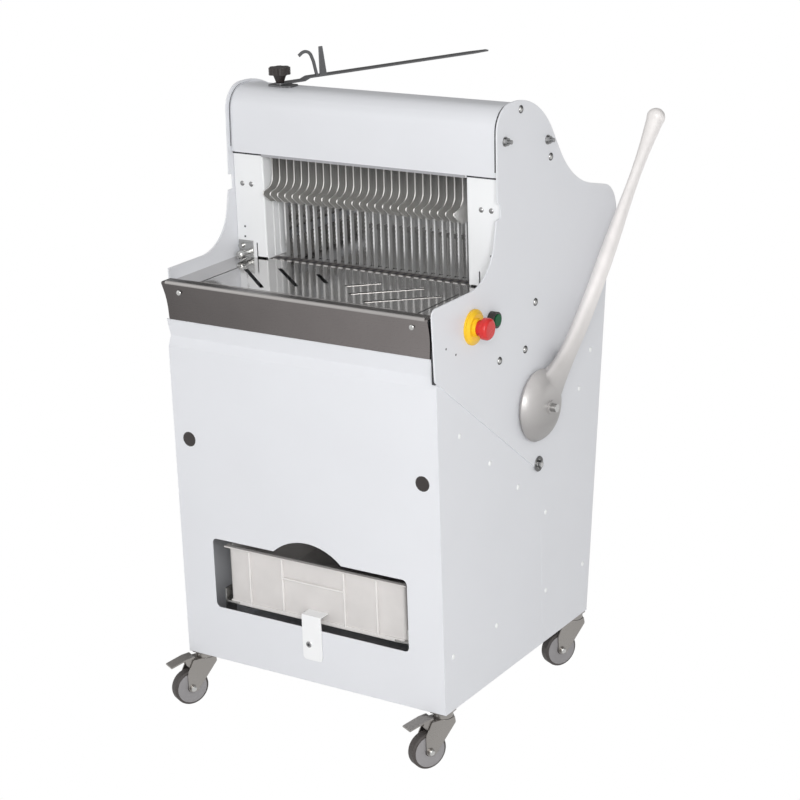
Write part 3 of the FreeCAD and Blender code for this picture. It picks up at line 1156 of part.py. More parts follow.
def fork():
    """Pressed fork: round crown under the race, two swept legs and the axle."""
    z = FORK_TOP - RUNNING * 4
    half = FORK_HALF + FORK_SHEET
    crown = rod(V(0, 0, z - FORK_SHEET), Z_AXIS, FORK_CROWN_RADIUS, FORK_SHEET)
    deck = box(0, CASTER_TRAIL * 0.72, -half, half, z - FORK_SHEET, z)
    leg = prism([(-16.0, z), (-18.0, z - 12, 6.0), (CASTER_TRAIL - 10, AXLE_Z - 8, 9.0),
                 (CASTER_TRAIL + 9, AXLE_Z - 8, 9.0), (CASTER_TRAIL + 10, AXLE_Z + 30, 10.0),
                 (CASTER_TRAIL * 0.88, z)], "y", FORK_HALF, half)
    other = leg.mirror(V(0, 0, 0), Y_AXIS)
    axle = rod(V(CASTER_TRAIL, -half - 3, AXLE_Z), Y_AXIS, AXLE_DIAMETER / 2, 2 * half + 6)
    nuts = [rod(V(CASTER_TRAIL, y, AXLE_Z), Y_AXIS, AXLE_DIAMETER / 2 + 3, 3.5)
            for y in (-half - 3.5, half)]
    body = fuse([crown, deck, leg, other, axle] + nuts)
    return body.cut(rod(V(0, 0, z - FORK_SHEET - 1), Z_AXIS, 5.0 + RUNNING, FORK_SHEET + 2))


def wheel():
    """Tyred wheel with a dished hub."""
    half = WHEEL_WIDTH / 2
    body = rod(V(CASTER_TRAIL, -half, AXLE_Z), Y_AXIS, WHEEL_RADIUS, WHEEL_WIDTH)
    body = body.makeChamfer(3.0, [e for e in body.Edges if len(e.Vertexes) == 1])
    for y in (-half, half - 3):
        body = body.cut(ring(V(CASTER_TRAIL, y, AXLE_Z), Y_AXIS, WHEEL_HUB_RADIUS,
                             WHEEL_HUB_RADIUS - 10, 3))
    return body.cut(rod(V(CASTER_TRAIL, -half - 1, AXLE_Z), Y_AXIS,
                        AXLE_DIAMETER / 2 + RUNNING, WHEEL_WIDTH + 2))


def pedal():
    """Brake pedal: flat tongue over the wheel on a cross pin in the fork's legs."""
    z = AXLE_Z + PEDAL_HEIGHT
    x = CASTER_TRAIL - 2
    half = FORK_HALF - 0.6
    barrel = rod(V(x, -half, z), Y_AXIS, 4.0, 2 * half)
    half = PEDAL_WIDTH / 2
    tongue = prism([(x, -half + 4), (x + PEDAL_REACH, -half, 8.0), (x + PEDAL_REACH, half, 8.0),
                    (x, half - 4)], "z", z, z + PEDAL_SHEET)
    tongue.rotate(V(x, 0, z), Y_AXIS, PEDAL_TILT)
    return fuse([barrel, tongue])


# ---- fasteners -----------------------------------------------------------------------------------


def dome(start, direction, radius, rise):
    """Low domed screw head standing on a face."""
    ball = (radius ** 2 + rise ** 2) / (2 * rise)
    sphere = Part.makeSphere(ball, start - direction * (ball - rise))
    return sphere.common(rod(start, direction, radius, rise + 1))


def domed_screws():
    heads = []
    for y, z in DOMED:
        heads += pair(dome(V(CHEEK_OUT, y, TABLE_HEIGHT + z), X_AXIS, SCREW_RADIUS, SCREW_RISE))
    for x, z in COLUMN_SCREWS:
        heads += pair(dome(V(x, COLUMN_FACE, TABLE_HEIGHT + z), -Y_AXIS, 5.0, 2.4))
    return heads


def hexagon(y, z, size, x0, length):
    points = []
    for i in range(7):
        angle = math.radians(60 * i + 12)
        points.append(V(x0, y + size * math.cos(angle), z + size * math.sin(angle)))
    return Part.Face(Part.makePolygon(points)).extrude(V(length, 0, 0))


def hex_bolts():
    bolts = []
    for (y, lift), washer in [(p, 9.0) for p in HEX] + [(TIP_BOLT, 15.0)]:
        z = TABLE_HEIGHT + lift
        bolt = [across(washer, y, z, CHEEK_OUT, CHEEK_OUT + WASHER),
                hexagon(y, z, HEX_SIZE / 2 + 0.7, CHEEK_OUT + WASHER, NUT)]
        if (y, lift) != TIP_BOLT:
            bolt.append(across(BOLT_RADIUS, y, z, CHEEK_OUT + WASHER, CHEEK_OUT + BOLT_END))
        bolts += pair(fuse(bolt))
    return bolts


def column_latch():
    """Small chromed latch on the left column above the table."""
    y = COLUMN_FACE
    z = TABLE_HEIGHT
    plate = box(-LATCH_X - 23, -LATCH_X + 11, y - 2, y, z + 1, z + 33)
    post = rod(V(-LATCH_X, y - 24, z + 11), Y_AXIS, 5.0, 22)
    ball = rod(V(-LATCH_X, y - 36, z + 11), Y_AXIS, 7.5, 13)
    ball = ball.makeChamfer(2.5, [e for e in ball.Edges if len(e.Vertexes) == 1])
    bolts = [rod(V(-LATCH_X - 16, y - 7, z + lift), Y_AXIS, 5.0, 5) for lift in (7, 21)]
    return fuse([plate, post, ball] + bolts)


def cable_gland():
    """Gland for the mains lead, low on the rear panel."""
    z = 160.0
    y = rear_edge(z)
    body = rod(V(-200, y + 0.2, z), Y_AXIS, 11.0, 6).fuse(rod(V(-200, y + 6, z), Y_AXIS, 8.0, 12))
    body = body.cut(rod(V(-200, y - 1, z), Y_AXIS, 4.0, 25))
    return body.removeSplitter()


# ---- the machine ---------------------------------------------------------------------------------
def main():
    os.makedirs(PARTS, exist_ok=True)
    save("cabinet_front_panel", front_panel())
    save("cabinet_side_right", side_panel())
    save("cabinet_side_left", mirrored(side_panel()))
    save("cabinet_base", base_plate())
    save("cabinet_rear_panel", rear_panel(), cable_gland())
    save("drive_shelf", drive_shelf())
    save("crumb_chute", crumb_chute())
    save("panel_plugs", *panel_plugs())
    save("cheek_right", cheek())
    save("cheek_left", mirrored(cheek().cut(left_nose_trim())))
    save("hood", hood())
    save("front_columns", column(), mirrored(column()), throat_rail())
    save("apron", apron())
    save("table", table())
    save("column_latch", column_latch())
    save("front_comb", front_comb())
    front_row, rear_row = blade_rows()
    save("blade_frame_front", blade_frame(-1, front_row))
    save("blade_frame_rear", blade_frame(1, rear_row))
    save("blades_front", *[blade(x) for x in front_row])
    save("blades_rear", *[blade(x) for x in rear_row])
    save("slide_guides", *slide_guides())
    save("press_fingers", *[finger(x) for x in at_pitch(BLADE_COUNT + 1)])
    save("finger_shaft", finger_shaft())
    save("crank_shaft", crank_shaft().fuse(crank_pulley()).removeSplitter())
    save("crank_bearings", *crank_bearings())
    save("motor_shaft", motor_shaft().fuse(motor_pulley()).removeSplitter())
    save("drive_belt", drive_belt())
    save("motor", motor())
    save("connecting_rod_front", connecting_rod(-1))
    save("connecting_rod_rear", connecting_rod(1))
    save("rear_table", rear_table())
    save("guide_rods", *guide_rods())
    save("pusher", pusher())
    save("pusher_fins", *pusher_fins())
    save("lever", lever())
    save("lever_shaft", lever_shaft(), *inner_arms())
    save("lever_bushes", *lever_bushes())
    save("crumb_drawer", crumb_drawer())
    save("drawer_runners", *drawer_runners())
    save("drawer_bracket", drawer_bracket(), drawer_screw())
    save("emergency_stop_base", stop_base())
    save("emergency_stop_button", stop_button())
    save("start_button_bezel", start_bezel())
    save("start_button", start_button())
    save("bag_arm_base", bag_base())
    save("bag_arm", bag_arm())
    save("bag_arm_knob", bag_knob())
    save("domed_screws", *domed_screws())
    save("hex_bolts", *hex_bolts())
    save("caster_heads", *caster_heads())
    for name in CASTERS:
        save("caster_fork_" + name, aimed(fork(), name))
        save("caster_wheel_" + name, aimed(wheel(), name))
        if name.startswith("front"):
            save("brake_pedal_" + name, aimed(pedal(), name))


main()
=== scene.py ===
# %% [markdown]
# # Dressing a floor-standing bread slicer
#
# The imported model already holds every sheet, blade, finger and wheel in its true place. This
# script gives each of them its finish, adds the small things that a maker adds last (rivets,
# hems, screw heads, teeth on the blades), and sets a plain studio round the machine.
#
# Blender works in metres. +X is the operator's right, +Y the back of the machine, +Z up, and the
# floor is at Z = 0. The small parts are measured in millimetres, as on a workshop drawing, and
# the helpers turn them into metres.

# %% Load the frame
import json
import math

import bmesh
import bpy
from mathutils import Matrix, Vector

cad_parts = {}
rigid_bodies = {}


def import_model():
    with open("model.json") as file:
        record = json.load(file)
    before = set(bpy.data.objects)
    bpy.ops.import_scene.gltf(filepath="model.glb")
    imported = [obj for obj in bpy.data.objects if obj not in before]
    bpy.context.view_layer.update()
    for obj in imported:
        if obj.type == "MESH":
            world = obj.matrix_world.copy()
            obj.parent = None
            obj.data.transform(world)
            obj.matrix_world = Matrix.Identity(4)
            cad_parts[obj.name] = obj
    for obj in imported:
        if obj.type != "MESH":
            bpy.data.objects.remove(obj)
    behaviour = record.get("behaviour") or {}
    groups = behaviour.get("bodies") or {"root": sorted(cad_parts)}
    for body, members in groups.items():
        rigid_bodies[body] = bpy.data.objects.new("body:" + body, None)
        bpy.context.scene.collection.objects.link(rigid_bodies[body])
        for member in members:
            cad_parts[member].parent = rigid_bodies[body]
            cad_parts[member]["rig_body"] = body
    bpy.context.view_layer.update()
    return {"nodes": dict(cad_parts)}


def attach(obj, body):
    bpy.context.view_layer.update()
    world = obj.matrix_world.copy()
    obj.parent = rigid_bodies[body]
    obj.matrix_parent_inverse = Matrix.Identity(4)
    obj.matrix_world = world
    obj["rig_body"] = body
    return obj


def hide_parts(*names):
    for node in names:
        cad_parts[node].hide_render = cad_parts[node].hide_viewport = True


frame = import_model()
nodes = frame["nodes"]

# %% [markdown]
# ## The camera
#
# A camera is a point, three directions and a focal length. It stands in front of the machine's
# right side, a little above its top, and looks down by about eighteen degrees. The machine fills
# a square picture, so the sensor is square in use and the lens is long, which keeps the uprights
# nearly parallel.

# %% Camera
AZIMUTH, ELEVATION, ROLL = math.radians(33.29944), math.radians(18.23275), math.radians(-1.99105)
CAMERA_AT = Vector((2.186797, -3.389611, 1.896377))
SENSOR_WIDTH = 36.0
LENS_PER_SENSOR = 2153.491 / 800.0


def add_object(name, data):
    """A new object in the scene that shows a mesh, a lamp or a camera."""
    thing = bpy.data.objects.new(name, data)
    bpy.context.scene.collection.objects.link(thing)
    return thing


def camera_axes(azimuth, elevation, roll):
    """Right, up and forward directions of a camera turned round its own line of sight by roll."""
    forward = Vector((-math.sin(azimuth) * math.cos(elevation),
                      math.cos(azimuth) * math.cos(elevation), -math.sin(elevation)))
    right = Vector((math.cos(azimuth), math.sin(azimuth), 0.0))
    up = right.cross(forward)
    return (right * math.cos(roll) + up * math.sin(roll),
            up * math.cos(roll) - right * math.sin(roll), forward)


right, up, forward = camera_axes(AZIMUTH, ELEVATION, ROLL)
lens = bpy.data.cameras.new("studio_camera")
lens.sensor_fit = "HORIZONTAL"
lens.sensor_width = SENSOR_WIDTH
lens.lens = SENSOR_WIDTH * LENS_PER_SENSOR
lens.clip_end = 100.0
camera = add_object("studio_camera", lens)
turn = Matrix((right, up, -forward)).transposed().to_4x4()
camera.matrix_world = Matrix.Translation(CAMERA_AT) @ turn
bpy.context.scene.camera = camera
bpy.context.scene.view_settings.view_transform = "Standard"
print("camera lens", round(lens.lens, 2), "mm at", [round(v, 3) for v in CAMERA_AT])

# %% [markdown]
# ## Building finishes from nodes
#
# A finish is a shader plus a little unevenness. Each recipe below starts from one helper, which
# makes a material with a Principled shader and hands back its node tree. Patterns read Object
# coordinates, which are metres on this machine, so a noise scale of 400 has features about 2.5 mm
# wide.

# %% Helpers for finishes
def new_finish(name, colour, metallic=0.0, roughness=0.5):
    """A Principled material with plain values, ready for its pattern nodes."""
    material = bpy.data.materials.new(name)
    material.use_nodes = True
    tree = material.node_tree
    shader = tree.nodes["Principled BSDF"]
    shader.inputs["Base Color"].default_value = (*colour, 1.0)
    shader.inputs["Metallic"].default_value = metallic
    shader.inputs["Roughness"].default_value = roughness
    return material, tree, shader


def object_noise(tree, scale, detail, stretch=(1.0, 1.0, 1.0)):
    """Noise in metres on the piece; stretch squeezes it along an axis."""
    place = tree.nodes.new("ShaderNodeTexCoord")
    mapping = tree.nodes.new("ShaderNodeMapping")
    mapping.inputs["Scale"].default_value = stretch
    noise = tree.nodes.new("ShaderNodeTexNoise")
    noise.inputs["Scale"].default_value = scale
    noise.inputs["Detail"].default_value = detail
    tree.links.new(place.outputs["Object"], mapping.inputs["Vector"])
    tree.links.new(mapping.outputs["Vector"], noise.inputs["Vector"])
    return noise.outputs["Fac"]


print("finish helpers ready; materials so far:", len(bpy.data.materials))

# %% [markdown]
# ## Leading a pattern into a shader
#
# Noise runs from 0 to 1 but keeps near its middle, so only the middle part is stretched over the
# range that a finish needs. Three more helpers lead a pattern to the roughness, to the normal and
# to the base colour. Small steps are enough everywhere: a finish is judged by its highlights.

# %% Helpers for patterns
NOISE_LOW, NOISE_HIGH = 0.3, 0.7
RAMP_LOW, RAMP_HIGH = 0.35, 0.65


def map_range(tree, value, *limits):
    """Maps a value from one range (its first two limits) to another (the last two)."""
    step = tree.nodes.new("ShaderNodeMapRange")
    for socket, limit in zip(("From Min", "From Max", "To Min", "To Max"), limits):
        step.inputs[socket].default_value = limit
    tree.links.new(value, step.inputs["Value"])
    return step.outputs["Result"]


def rough_between(tree, shader, value, low, high):
    """Lets a pattern move the roughness between two values."""
    rough = map_range(tree, value, NOISE_LOW, NOISE_HIGH, low, high)
    tree.links.new(rough, shader.inputs["Roughness"])


def bumpy(tree, shader, value, strength, distance):
    """Feeds a pattern into the surface's normal."""
    bump = tree.nodes.new("ShaderNodeBump")
    bump.inputs["Strength"].default_value = strength
    bump.inputs["Distance"].default_value = distance
    tree.links.new(value, bump.inputs["Height"])
    tree.links.new(bump.outputs["Normal"], shader.inputs["Normal"])


def tint(tree, shader, value, colour, share):
    """Varies the base colour gently between itself and a darker share of itself."""
    ramp = tree.nodes.new("ShaderNodeValToRGB")
    dark, light = ramp.color_ramp.elements
    dark.position, light.position = RAMP_LOW, RAMP_HIGH
    dark.color = (*(c * share for c in colour), 1.0)
    light.color = (*colour, 1.0)
    tree.links.new(value, ramp.inputs["Fac"])
    tree.links.new(ramp.outputs["Color"], shader.inputs["Base Color"])


print("noise is used between", NOISE_LOW, "and", NOISE_HIGH)

# %% [markdown]
# ## White powder coat
#
# The cabinet, the cheeks and the hood are sprayed with white powder and baked. The melted powder
# leaves a very fine orange peel, which a reflection shows and the eye hardly does. A small-scale
# bump and a slow drift in roughness are enough; colour variation would look like dirt. Copies of
# the recipe also carry painted light. Grey and near-black tones are painted shade for gaps, holes
# and hems that lie in shade. A dark brown one darkens the comb with painted shade. Paler ones are a
# painted highlight on rivets and folds, and painted light on the columns inside the throat.

# %% White powder coat
def powder_coat(name, colour, roughness=0.34):
    """Baked powder: fine orange peel and a slow drift in gloss."""
    material, tree, shader = new_finish(name, colour, roughness=roughness)
    shader.inputs["Specular IOR Level"].default_value = 0.45
    bumpy(tree, shader, object_noise(tree, scale=700.0, detail=1.0), strength=0.06, distance=0.0004)
    drift = object_noise(tree, scale=6.0, detail=2.0)
    rough_between(tree, shader, drift, roughness - 0.04, roughness + 0.05)
    tint(tree, shader, drift, colour, share=0.985)
    return material


white_coat = powder_coat("white_powder_coat", (0.74, 0.75, 0.78))
# paler copy of the white: painted highlight on rivet heads and column folds, and the bracket's own
# pale paint
pale_coat_and_highlight = powder_coat("pale_paint_and_highlight", (0.88, 0.885, 0.89), 0.3)
# grey copy: painted shade on the hem under the hood
painted_hem_shade = powder_coat("shaded_hem", (0.36, 0.36, 0.38), 0.5)
# near-black copy: painted shade in gaps, seams, slots, pin holes and the screw socket
painted_gap_shade = powder_coat("painted_gap_shade_coat", (0.035, 0.035, 0.04), 0.7)
# dark brown copy: the comb's matt steel, darkened further as painted shade under the blades
matt_steel_and_shade = powder_coat("matt_steel_and_shade", (0.11, 0.10, 0.095), 0.6)
# lighter copy of the white: painted light on the columns, which lie in the throat's shade
column_coat_painted_light = powder_coat("column_paint_painted_light", (0.86, 0.87, 0.88))
grey_coat = powder_coat("grey_machine_paint", (0.30, 0.32, 0.35), 0.45)
print("coats:", [coat.name for coat in (white_coat, pale_coat_and_highlight, column_coat_painted_light, grey_coat)])

# %% [markdown]
# ## Stainless steel
#
# Sheet steel is sold with a brushed face: thousands of fine scratches in one direction. They blur
# a reflection across the scratches and keep it sharp along them. Noise squeezed hard along one
# axis gives the scratches, and it drives both the roughness and a faint bump. An image of
# scratches would do as well, but noise stays sharp at any distance.

# %% Brushed and polished steel
SQUEEZE = {"X": (0.02, 1.0, 1.0), "Y": (1.0, 0.02, 1.0), "Z": (1.0, 1.0, 0.02)}


def brushed_steel(name, colour, along, roughness, grain):
    """Metal with scratches along one axis; grain is how much they vary the roughness."""
    material, tree, shader = new_finish(name, colour, metallic=1.0, roughness=roughness)
    scratches = object_noise(tree, scale=1800.0, detail=3.0, stretch=SQUEEZE[along])
    rough_between(tree, shader, scratches, roughness - grain * 0.5, roughness + grain)
    bumpy(tree, shader, scratches, strength=0.10, distance=0.0002)
    tint(tree, shader, object_noise(tree, scale=9.0, detail=3.0), colour, share=0.93)
    return material


table_steel = brushed_steel("table_steel", (0.60, 0.59, 0.58), "X", 0.07, 0.04)
apron_steel = brushed_steel("apron_steel", (0.225, 0.207, 0.203), "X", 0.30, 0.10)
finger_steel = brushed_steel("finger_steel", (0.84, 0.83, 0.81), "Z", 0.42, 0.14)
frame_steel = brushed_steel("frame_steel", (0.17, 0.165, 0.16), "Z", 0.34, 0.10)
bar_steel = brushed_steel("bar_steel", (0.40, 0.385, 0.375), "X", 0.34, 0.08)
plain_steel = brushed_steel("plain_steel", (0.46, 0.45, 0.44), "Z", 0.30, 0.12)
fork_steel = brushed_steel("fork_steel", (0.31, 0.295, 0.28), "X", 0.30, 0.10)
arm_steel = brushed_steel("arm_steel", (0.17, 0.17, 0.175), "X", 0.36, 0.10)
# dark rims of the side screws and the washer: painted shade
screw_shade_steel = brushed_steel("screw_shade_steel", (0.13, 0.13, 0.13), "X", 0.30, 0.08)
bolt_zinc = brushed_steel("bolt_zinc", (0.30, 0.30, 0.30), "X", 0.30, 0.08)
zinc = brushed_steel("bright_zinc", (0.50, 0.50, 0.49), "X", 0.24, 0.06)
bronze = brushed_steel("bush_bronze", (0.55, 0.36, 0.13), "X", 0.35, 0.08)
print("metals:", [metal.name for metal in (table_steel, apron_steel, finger_steel, zinc, bronze)])

# %% [markdown]
# ## Cast aluminium
#
# The lever is a casting that has been tumbled and lightly polished: pale, warm and satin, with
# soft clouds where the polish varies. It isn't a mirror, so it is metallic in part only, with a
# fairly high roughness. Ground blade edges and the pusher's comb share this soft look.

# %% Cast aluminium
def cast_aluminium(name, colour, metallic):
    """Satin metal with clouds in its polish and a fine grain."""
    material, tree, shader = new_finish(name, colour, metallic=metallic, roughness=0.42)
    cloud = object_noise(tree, scale=28.0, detail=4.0)
    rough_between(tree, shader, cloud, 0.36, 0.50)
    bumpy(tree, shader, object_noise(tree, scale=900.0, detail=2.0), strength=0.04, distance=0.0002)
    tint(tree, shader, cloud, colour, share=0.95)
    return material


lever_metal = cast_aluminium("lever_aluminium", (0.90, 0.87, 0.855), 0.36)
blade_steel = cast_aluminium("blade_steel", (0.52, 0.52, 0.52), 0.45)
edge_steel = cast_aluminium("edge_steel", (0.62, 0.61, 0.60), 0.30)
# near-white blade edges: the ground steel's brightness plus a painted highlight
ground_steel_highlight = cast_aluminium("ground_steel_highlight", (0.95, 0.95, 0.95), 0.10)
loaf_comb = cast_aluminium("comb_aluminium", (0.88, 0.88, 0.88), 0.20)
link_metal = cast_aluminium("link_aluminium", (0.50, 0.50, 0.50), 0.55)
print("castings:", [metal.name for metal in (lever_metal, loaf_comb, link_metal)])

# %% [markdown]
# ## Metal that darkens towards one end
#
# Deep in the throat and under the hood the same metal lies in shade and looks darker. A lamp
# alone can't give that falloff without changing everything else, so the shade is painted: the base
# colour is multiplied by a ramp along one axis. The fingers, the apron and the blade edges get
# painted shade this way; the lever is only made darker towards its hub. The ramp reads Object
# coordinates, so its ends are places in metres.

# %% Darkening ramps: painted shade, and a darker lever hub
def darken_along(material, dark_end, bright_end, share, axis="Z"):
    """Multiplies a finish by a share at one place along an axis, and by 1 at another."""
    tree = material.node_tree
    colour = tree.nodes["Principled BSDF"].inputs["Base Color"]
    place = tree.nodes.new("ShaderNodeTexCoord")
    parts = tree.nodes.new("ShaderNodeSeparateXYZ")
    tree.links.new(place.outputs["Object"], parts.inputs["Vector"])
    rise = map_range(tree, parts.outputs[axis], dark_end, bright_end, share, 1.0)
    shade = tree.nodes.new("ShaderNodeVectorMath")
    shade.operation = "SCALE"
    tree.links.new(colour.links[0].from_socket, shade.inputs[0])
    tree.links.new(rise, shade.inputs["Scale"])
    tree.links.new(shade.outputs["Vector"], colour)


# painted shade: the fingers darken upwards into the shade under the hood
darken_along(finger_steel, dark_end=1.055, bright_end=1.00, share=0.42)
# painted shade across the apron, darker to the left
darken_along(apron_steel, dark_end=-0.30, bright_end=0.28, share=0.49, axis="X")
# the lever is made darker towards its hub
darken_along(lever_metal, dark_end=0.58, bright_end=0.80, share=0.385)
# painted shade on the lowest teeth of the blade edges, near the table
darken_along(ground_steel_highlight, dark_end=0.885, bright_end=0.905, share=0.42)
print("four finishes fade")

# %% [markdown]
# ## Plastics and rubber
#
# Moulded plastic has a dull skin with a very fine spark-eroded grain. The emergency stop is
# glossier, and the start button hardly shines. The wheels have a grey rubber tread on a grey
# plastic core: the tread is rougher and darker.

# %% Plastics and rubber
def moulded(name, colour, roughness, grain=0.10, scale=1500.0, specular=0.5):
    """A moulded skin: a fine grain in the surface and a slow drift in gloss."""
    material, tree, shader = new_finish(name, colour, roughness=roughness)
    shader.inputs["Specular IOR Level"].default_value = specular
    bumpy(tree, shader, object_noise(tree, scale, detail=2.0), strength=grain, distance=0.0003)
    drift = object_noise(tree, scale=20.0, detail=2.0)
    rough_between(tree, shader, drift, roughness - 0.05, roughness + 0.06)
    tint(tree, shader, drift, colour, share=0.94)
    return material


black_plastic = moulded("black_plastic", (0.024, 0.018, 0.017), 0.36)
tray_plastic = moulded("tray_plastic", (0.69, 0.665, 0.65), 0.50)
# paler than the drawer plastic: painted highlight on the rib crests and the hem
rib_plastic_highlight = moulded("rib_plastic_highlight", (0.80, 0.78, 0.765), 0.40)
nylon = moulded("nylon", (0.74, 0.71, 0.62), 0.45)
red_plastic = moulded("stop_red", (0.62, 0.020, 0.018), 0.28, grain=0.03)
yellow_plastic = moulded("stop_yellow", (0.90, 0.55, 0.015), 0.32, grain=0.03)
green_plastic = moulded("start_green", (0.006, 0.10, 0.038), 0.32, grain=0.03, specular=0.12)
wheel_rubber = moulded("wheel_rubber", (0.058, 0.050, 0.047), 0.60, grain=0.20, scale=900.0)
wheel_core = moulded("wheel_core", (0.29, 0.28, 0.285), 0.50, grain=0.10, scale=900.0)
belt_rubber = moulded("belt_rubber", (0.02, 0.02, 0.02), 0.65, grain=0.25, scale=700.0)
print("finishes in all:", len(bpy.data.materials))

# %% [markdown]
# ## Giving every node its finish
#
# One table says which finish goes on which node. A node's mesh stays as it came, and only its
# material slot changes. A name that ends in a star stands for all nodes that start with it.

# %% Table of finishes
FINISHES = {
    "cabinet_*": white_coat, "cheek_*": white_coat, "hood": white_coat,
    "front_columns": column_coat_painted_light, "drawer_bracket": pale_coat_and_highlight, "drive_shelf": grey_coat,
    "crank_bearings": grey_coat,
    "motor": grey_coat, "crumb_chute": table_steel, "table": table_steel, "rear_table": table_steel,
    "front_comb": table_steel, "apron": apron_steel, "blades_*": blade_steel,
    "blade_frame_*": frame_steel, "press_fingers": finger_steel, "finger_shaft": plain_steel,
    "crank_shaft": plain_steel, "motor_shaft": plain_steel, "guide_rods": plain_steel,
    "connecting_rod_*": link_metal, "pusher": loaf_comb, "pusher_fins": loaf_comb,
    "lever": lever_metal, "lever_shaft": zinc, "lever_bushes": bronze,
    "slide_guides": nylon, "crumb_drawer": tray_plastic, "drawer_runners": zinc,
    "panel_plugs": black_plastic, "drive_belt": belt_rubber,
    "emergency_stop_base": yellow_plastic, "emergency_stop_button": red_plastic,
    "start_button_bezel": black_plastic, "start_button": green_plastic,
    "bag_arm": arm_steel, "bag_arm_base": arm_steel, "bag_arm_knob": black_plastic,
    "domed_screws": bolt_zinc, "hex_bolts": bolt_zinc, "column_latch": zinc,
    "caster_heads": fork_steel, "caster_fork_*": fork_steel, "caster_wheel_*": wheel_rubber,
    "brake_pedal_*": fork_steel,
}


def finish_for(name):
    """The finish of a node, looked up by its full name or by its family."""
    if name in FINISHES:
        return FINISHES[name]
    families = [key for key in FINISHES if key.endswith("*") and name.startswith(key[:-1])]
    return FINISHES[families[0]]


for name, node in nodes.items():
    node.data.materials.clear()
    node.data.materials.append(finish_for(name))
print("finished", len(nodes), "nodes")

# %% [markdown]
# ## Softened copies
#
# Real sheet edges and castings are never razor sharp: a thin bright line runs along each edge.
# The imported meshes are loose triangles, so a copy is merged first, its flat shading becomes
# smooth where neighbouring faces nearly agree, and a tiny bevel catches the light. The copy then
# stands for the node, which stays as it was underneath.

# %% Helper that softens a node
MERGE_WITHIN = 0.00001
FLAT_ANGLE, SHARP_ANGLE = math.radians(1.0), math.radians(32.0)


def soften(name, edge):
    """A merged, smooth-shaded and lightly bevelled copy that stands for a node."""
    mesh = nodes[name].data.copy()
    mesh.name = name + "_skin"
    work = bmesh.new()
    work.from_mesh(mesh)
    bmesh.ops.remove_doubles(work, verts=work.verts, dist=MERGE_WITHIN)
    bmesh.ops.dissolve_limit(work, angle_limit=FLAT_ANGLE, verts=work.verts, edges=work.edges)
    for face in work.faces:
        face.smooth = True
    work.to_mesh(mesh)
    work.free()
    if "custom_normal" in mesh.attributes:
        mesh.attributes.remove(mesh.attributes["custom_normal"])
    mesh.set_sharp_from_angle(angle=SHARP_ANGLE)
    copy = add_object(name + "_skin", mesh)
    if edge > 0:
        bevel = copy.modifiers.new("soft_edges", "BEVEL")
        bevel.width = edge
        bevel.segments = 2
        bevel.limit_method = "ANGLE"
        bevel.angle_limit = SHARP_ANGLE
        bevel.use_clamp_overlap = True
        bevel.harden_normals = True
    body = nodes[name]["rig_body"]
    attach(copy, body)
    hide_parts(name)


print("edges sharper than", round(math.degrees(SHARP_ANGLE)), "degrees get a bevel")

# %% [markdown]
# ## Which edges are rounded, and how much
#
# A bent sheet has a rim of a few tenths of a millimetre, and a casting one of a whole millimetre.
# The table gives each node the width of its bevel in metres. Only nodes that the eye rests on are
# here, since a bevel adds many triangles.

# %% Soften what the eye rests on
SOFT_EDGES = {
    "hood": 0.0005, "cheek_right": 0.0006, "cheek_left": 0.0006, "cabinet_front_panel": 0.0004,
    "cabinet_side_right": 0.0004, "cabinet_side_left": 0.0004, "front_columns": 0.0004,
    "apron": 0.0004, "table": 0.0003, "crumb_drawer": 0.0006, "drawer_bracket": 0.0004,
    "lever": 0.0010, "emergency_stop_button": 0.0005, "emergency_stop_base": 0.0006,
    "start_button": 0.0004, "start_button_bezel": 0.0005, "bag_arm": 0.0003,
    "bag_arm_knob": 0.0008, "bag_arm_base": 0.0003, "press_fingers": 0.0003,
    "panel_plugs": 0.0004, "domed_screws": 0.0, "hex_bolts": 0.0003, "column_latch": 0.0004,
    "caster_heads": 0.0003,
}
for corner in ("front_left", "front_right", "rear_left", "rear_right"):
    SOFT_EDGES["caster_fork_" + corner] = 0.0003
    SOFT_EDGES["caster_wheel_" + corner] = 0.0004
for name, edge in SOFT_EDGES.items():
    soften(name, edge)
print("softened", len(SOFT_EDGES), "pieces")

# %% [markdown]
# ## From the drawing to the scene
#
# The small pieces are placed on a drawing in millimetres that starts at the middle of the front
# panel. One helper turns such a place into metres in the scene, and another makes a finished mesh
# an object, with its finish, its slot and the body that it rides on. Every piece's object stays
# at the origin and its place is in its mesh, so that patterns in metres sit where they should.

# %% Helpers for places and pieces
MACHINE_SHIFT = Vector((-0.016, -0.372, 0.008))
MILLIMETRE = 0.001
SMOOTH_BELOW = math.radians(35.0)


def on_machine(x, y, z):
    """A point in millimetres from the front panel's middle; the floor is at -8."""
    return Vector((x, y, z)) * MILLIMETRE + MACHINE_SHIFT


def new_piece(name, work, finish, body="machine", smooth=True):
    """Turns a finished bmesh into an object that rides on a body."""
    bmesh.ops.recalc_face_normals(work, faces=work.faces)
    for face in work.faces:
        face.smooth = smooth
    mesh = bpy.data.meshes.new(name)
    work.to_mesh(mesh)
    work.free()
    mesh.set_sharp_from_angle(angle=SMOOTH_BELOW)
    mesh.materials.append(finish)
    piece = add_object(name, mesh)
    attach(piece, body)
    return piece


print("the drawing's origin is at", [round(v, 3) for v in on_machine(0, 0, 0)])

# %% [markdown]
# ## Domes, boxes and round bars
#
# Most small parts come from three shapes. A low head is a sphere squashed along its axis, with
# its lower half let into the sheet, so that only a dome stands proud. A strip is a cube stretched
# between two corners, and a round bar is a cylinder laid between two points.

# %% Helpers for simple shapes
def facing(direction):
    """The turn that points a shape's Z axis along a direction."""
    return Vector(direction).to_track_quat("Z", "Y").to_matrix().to_4x4()


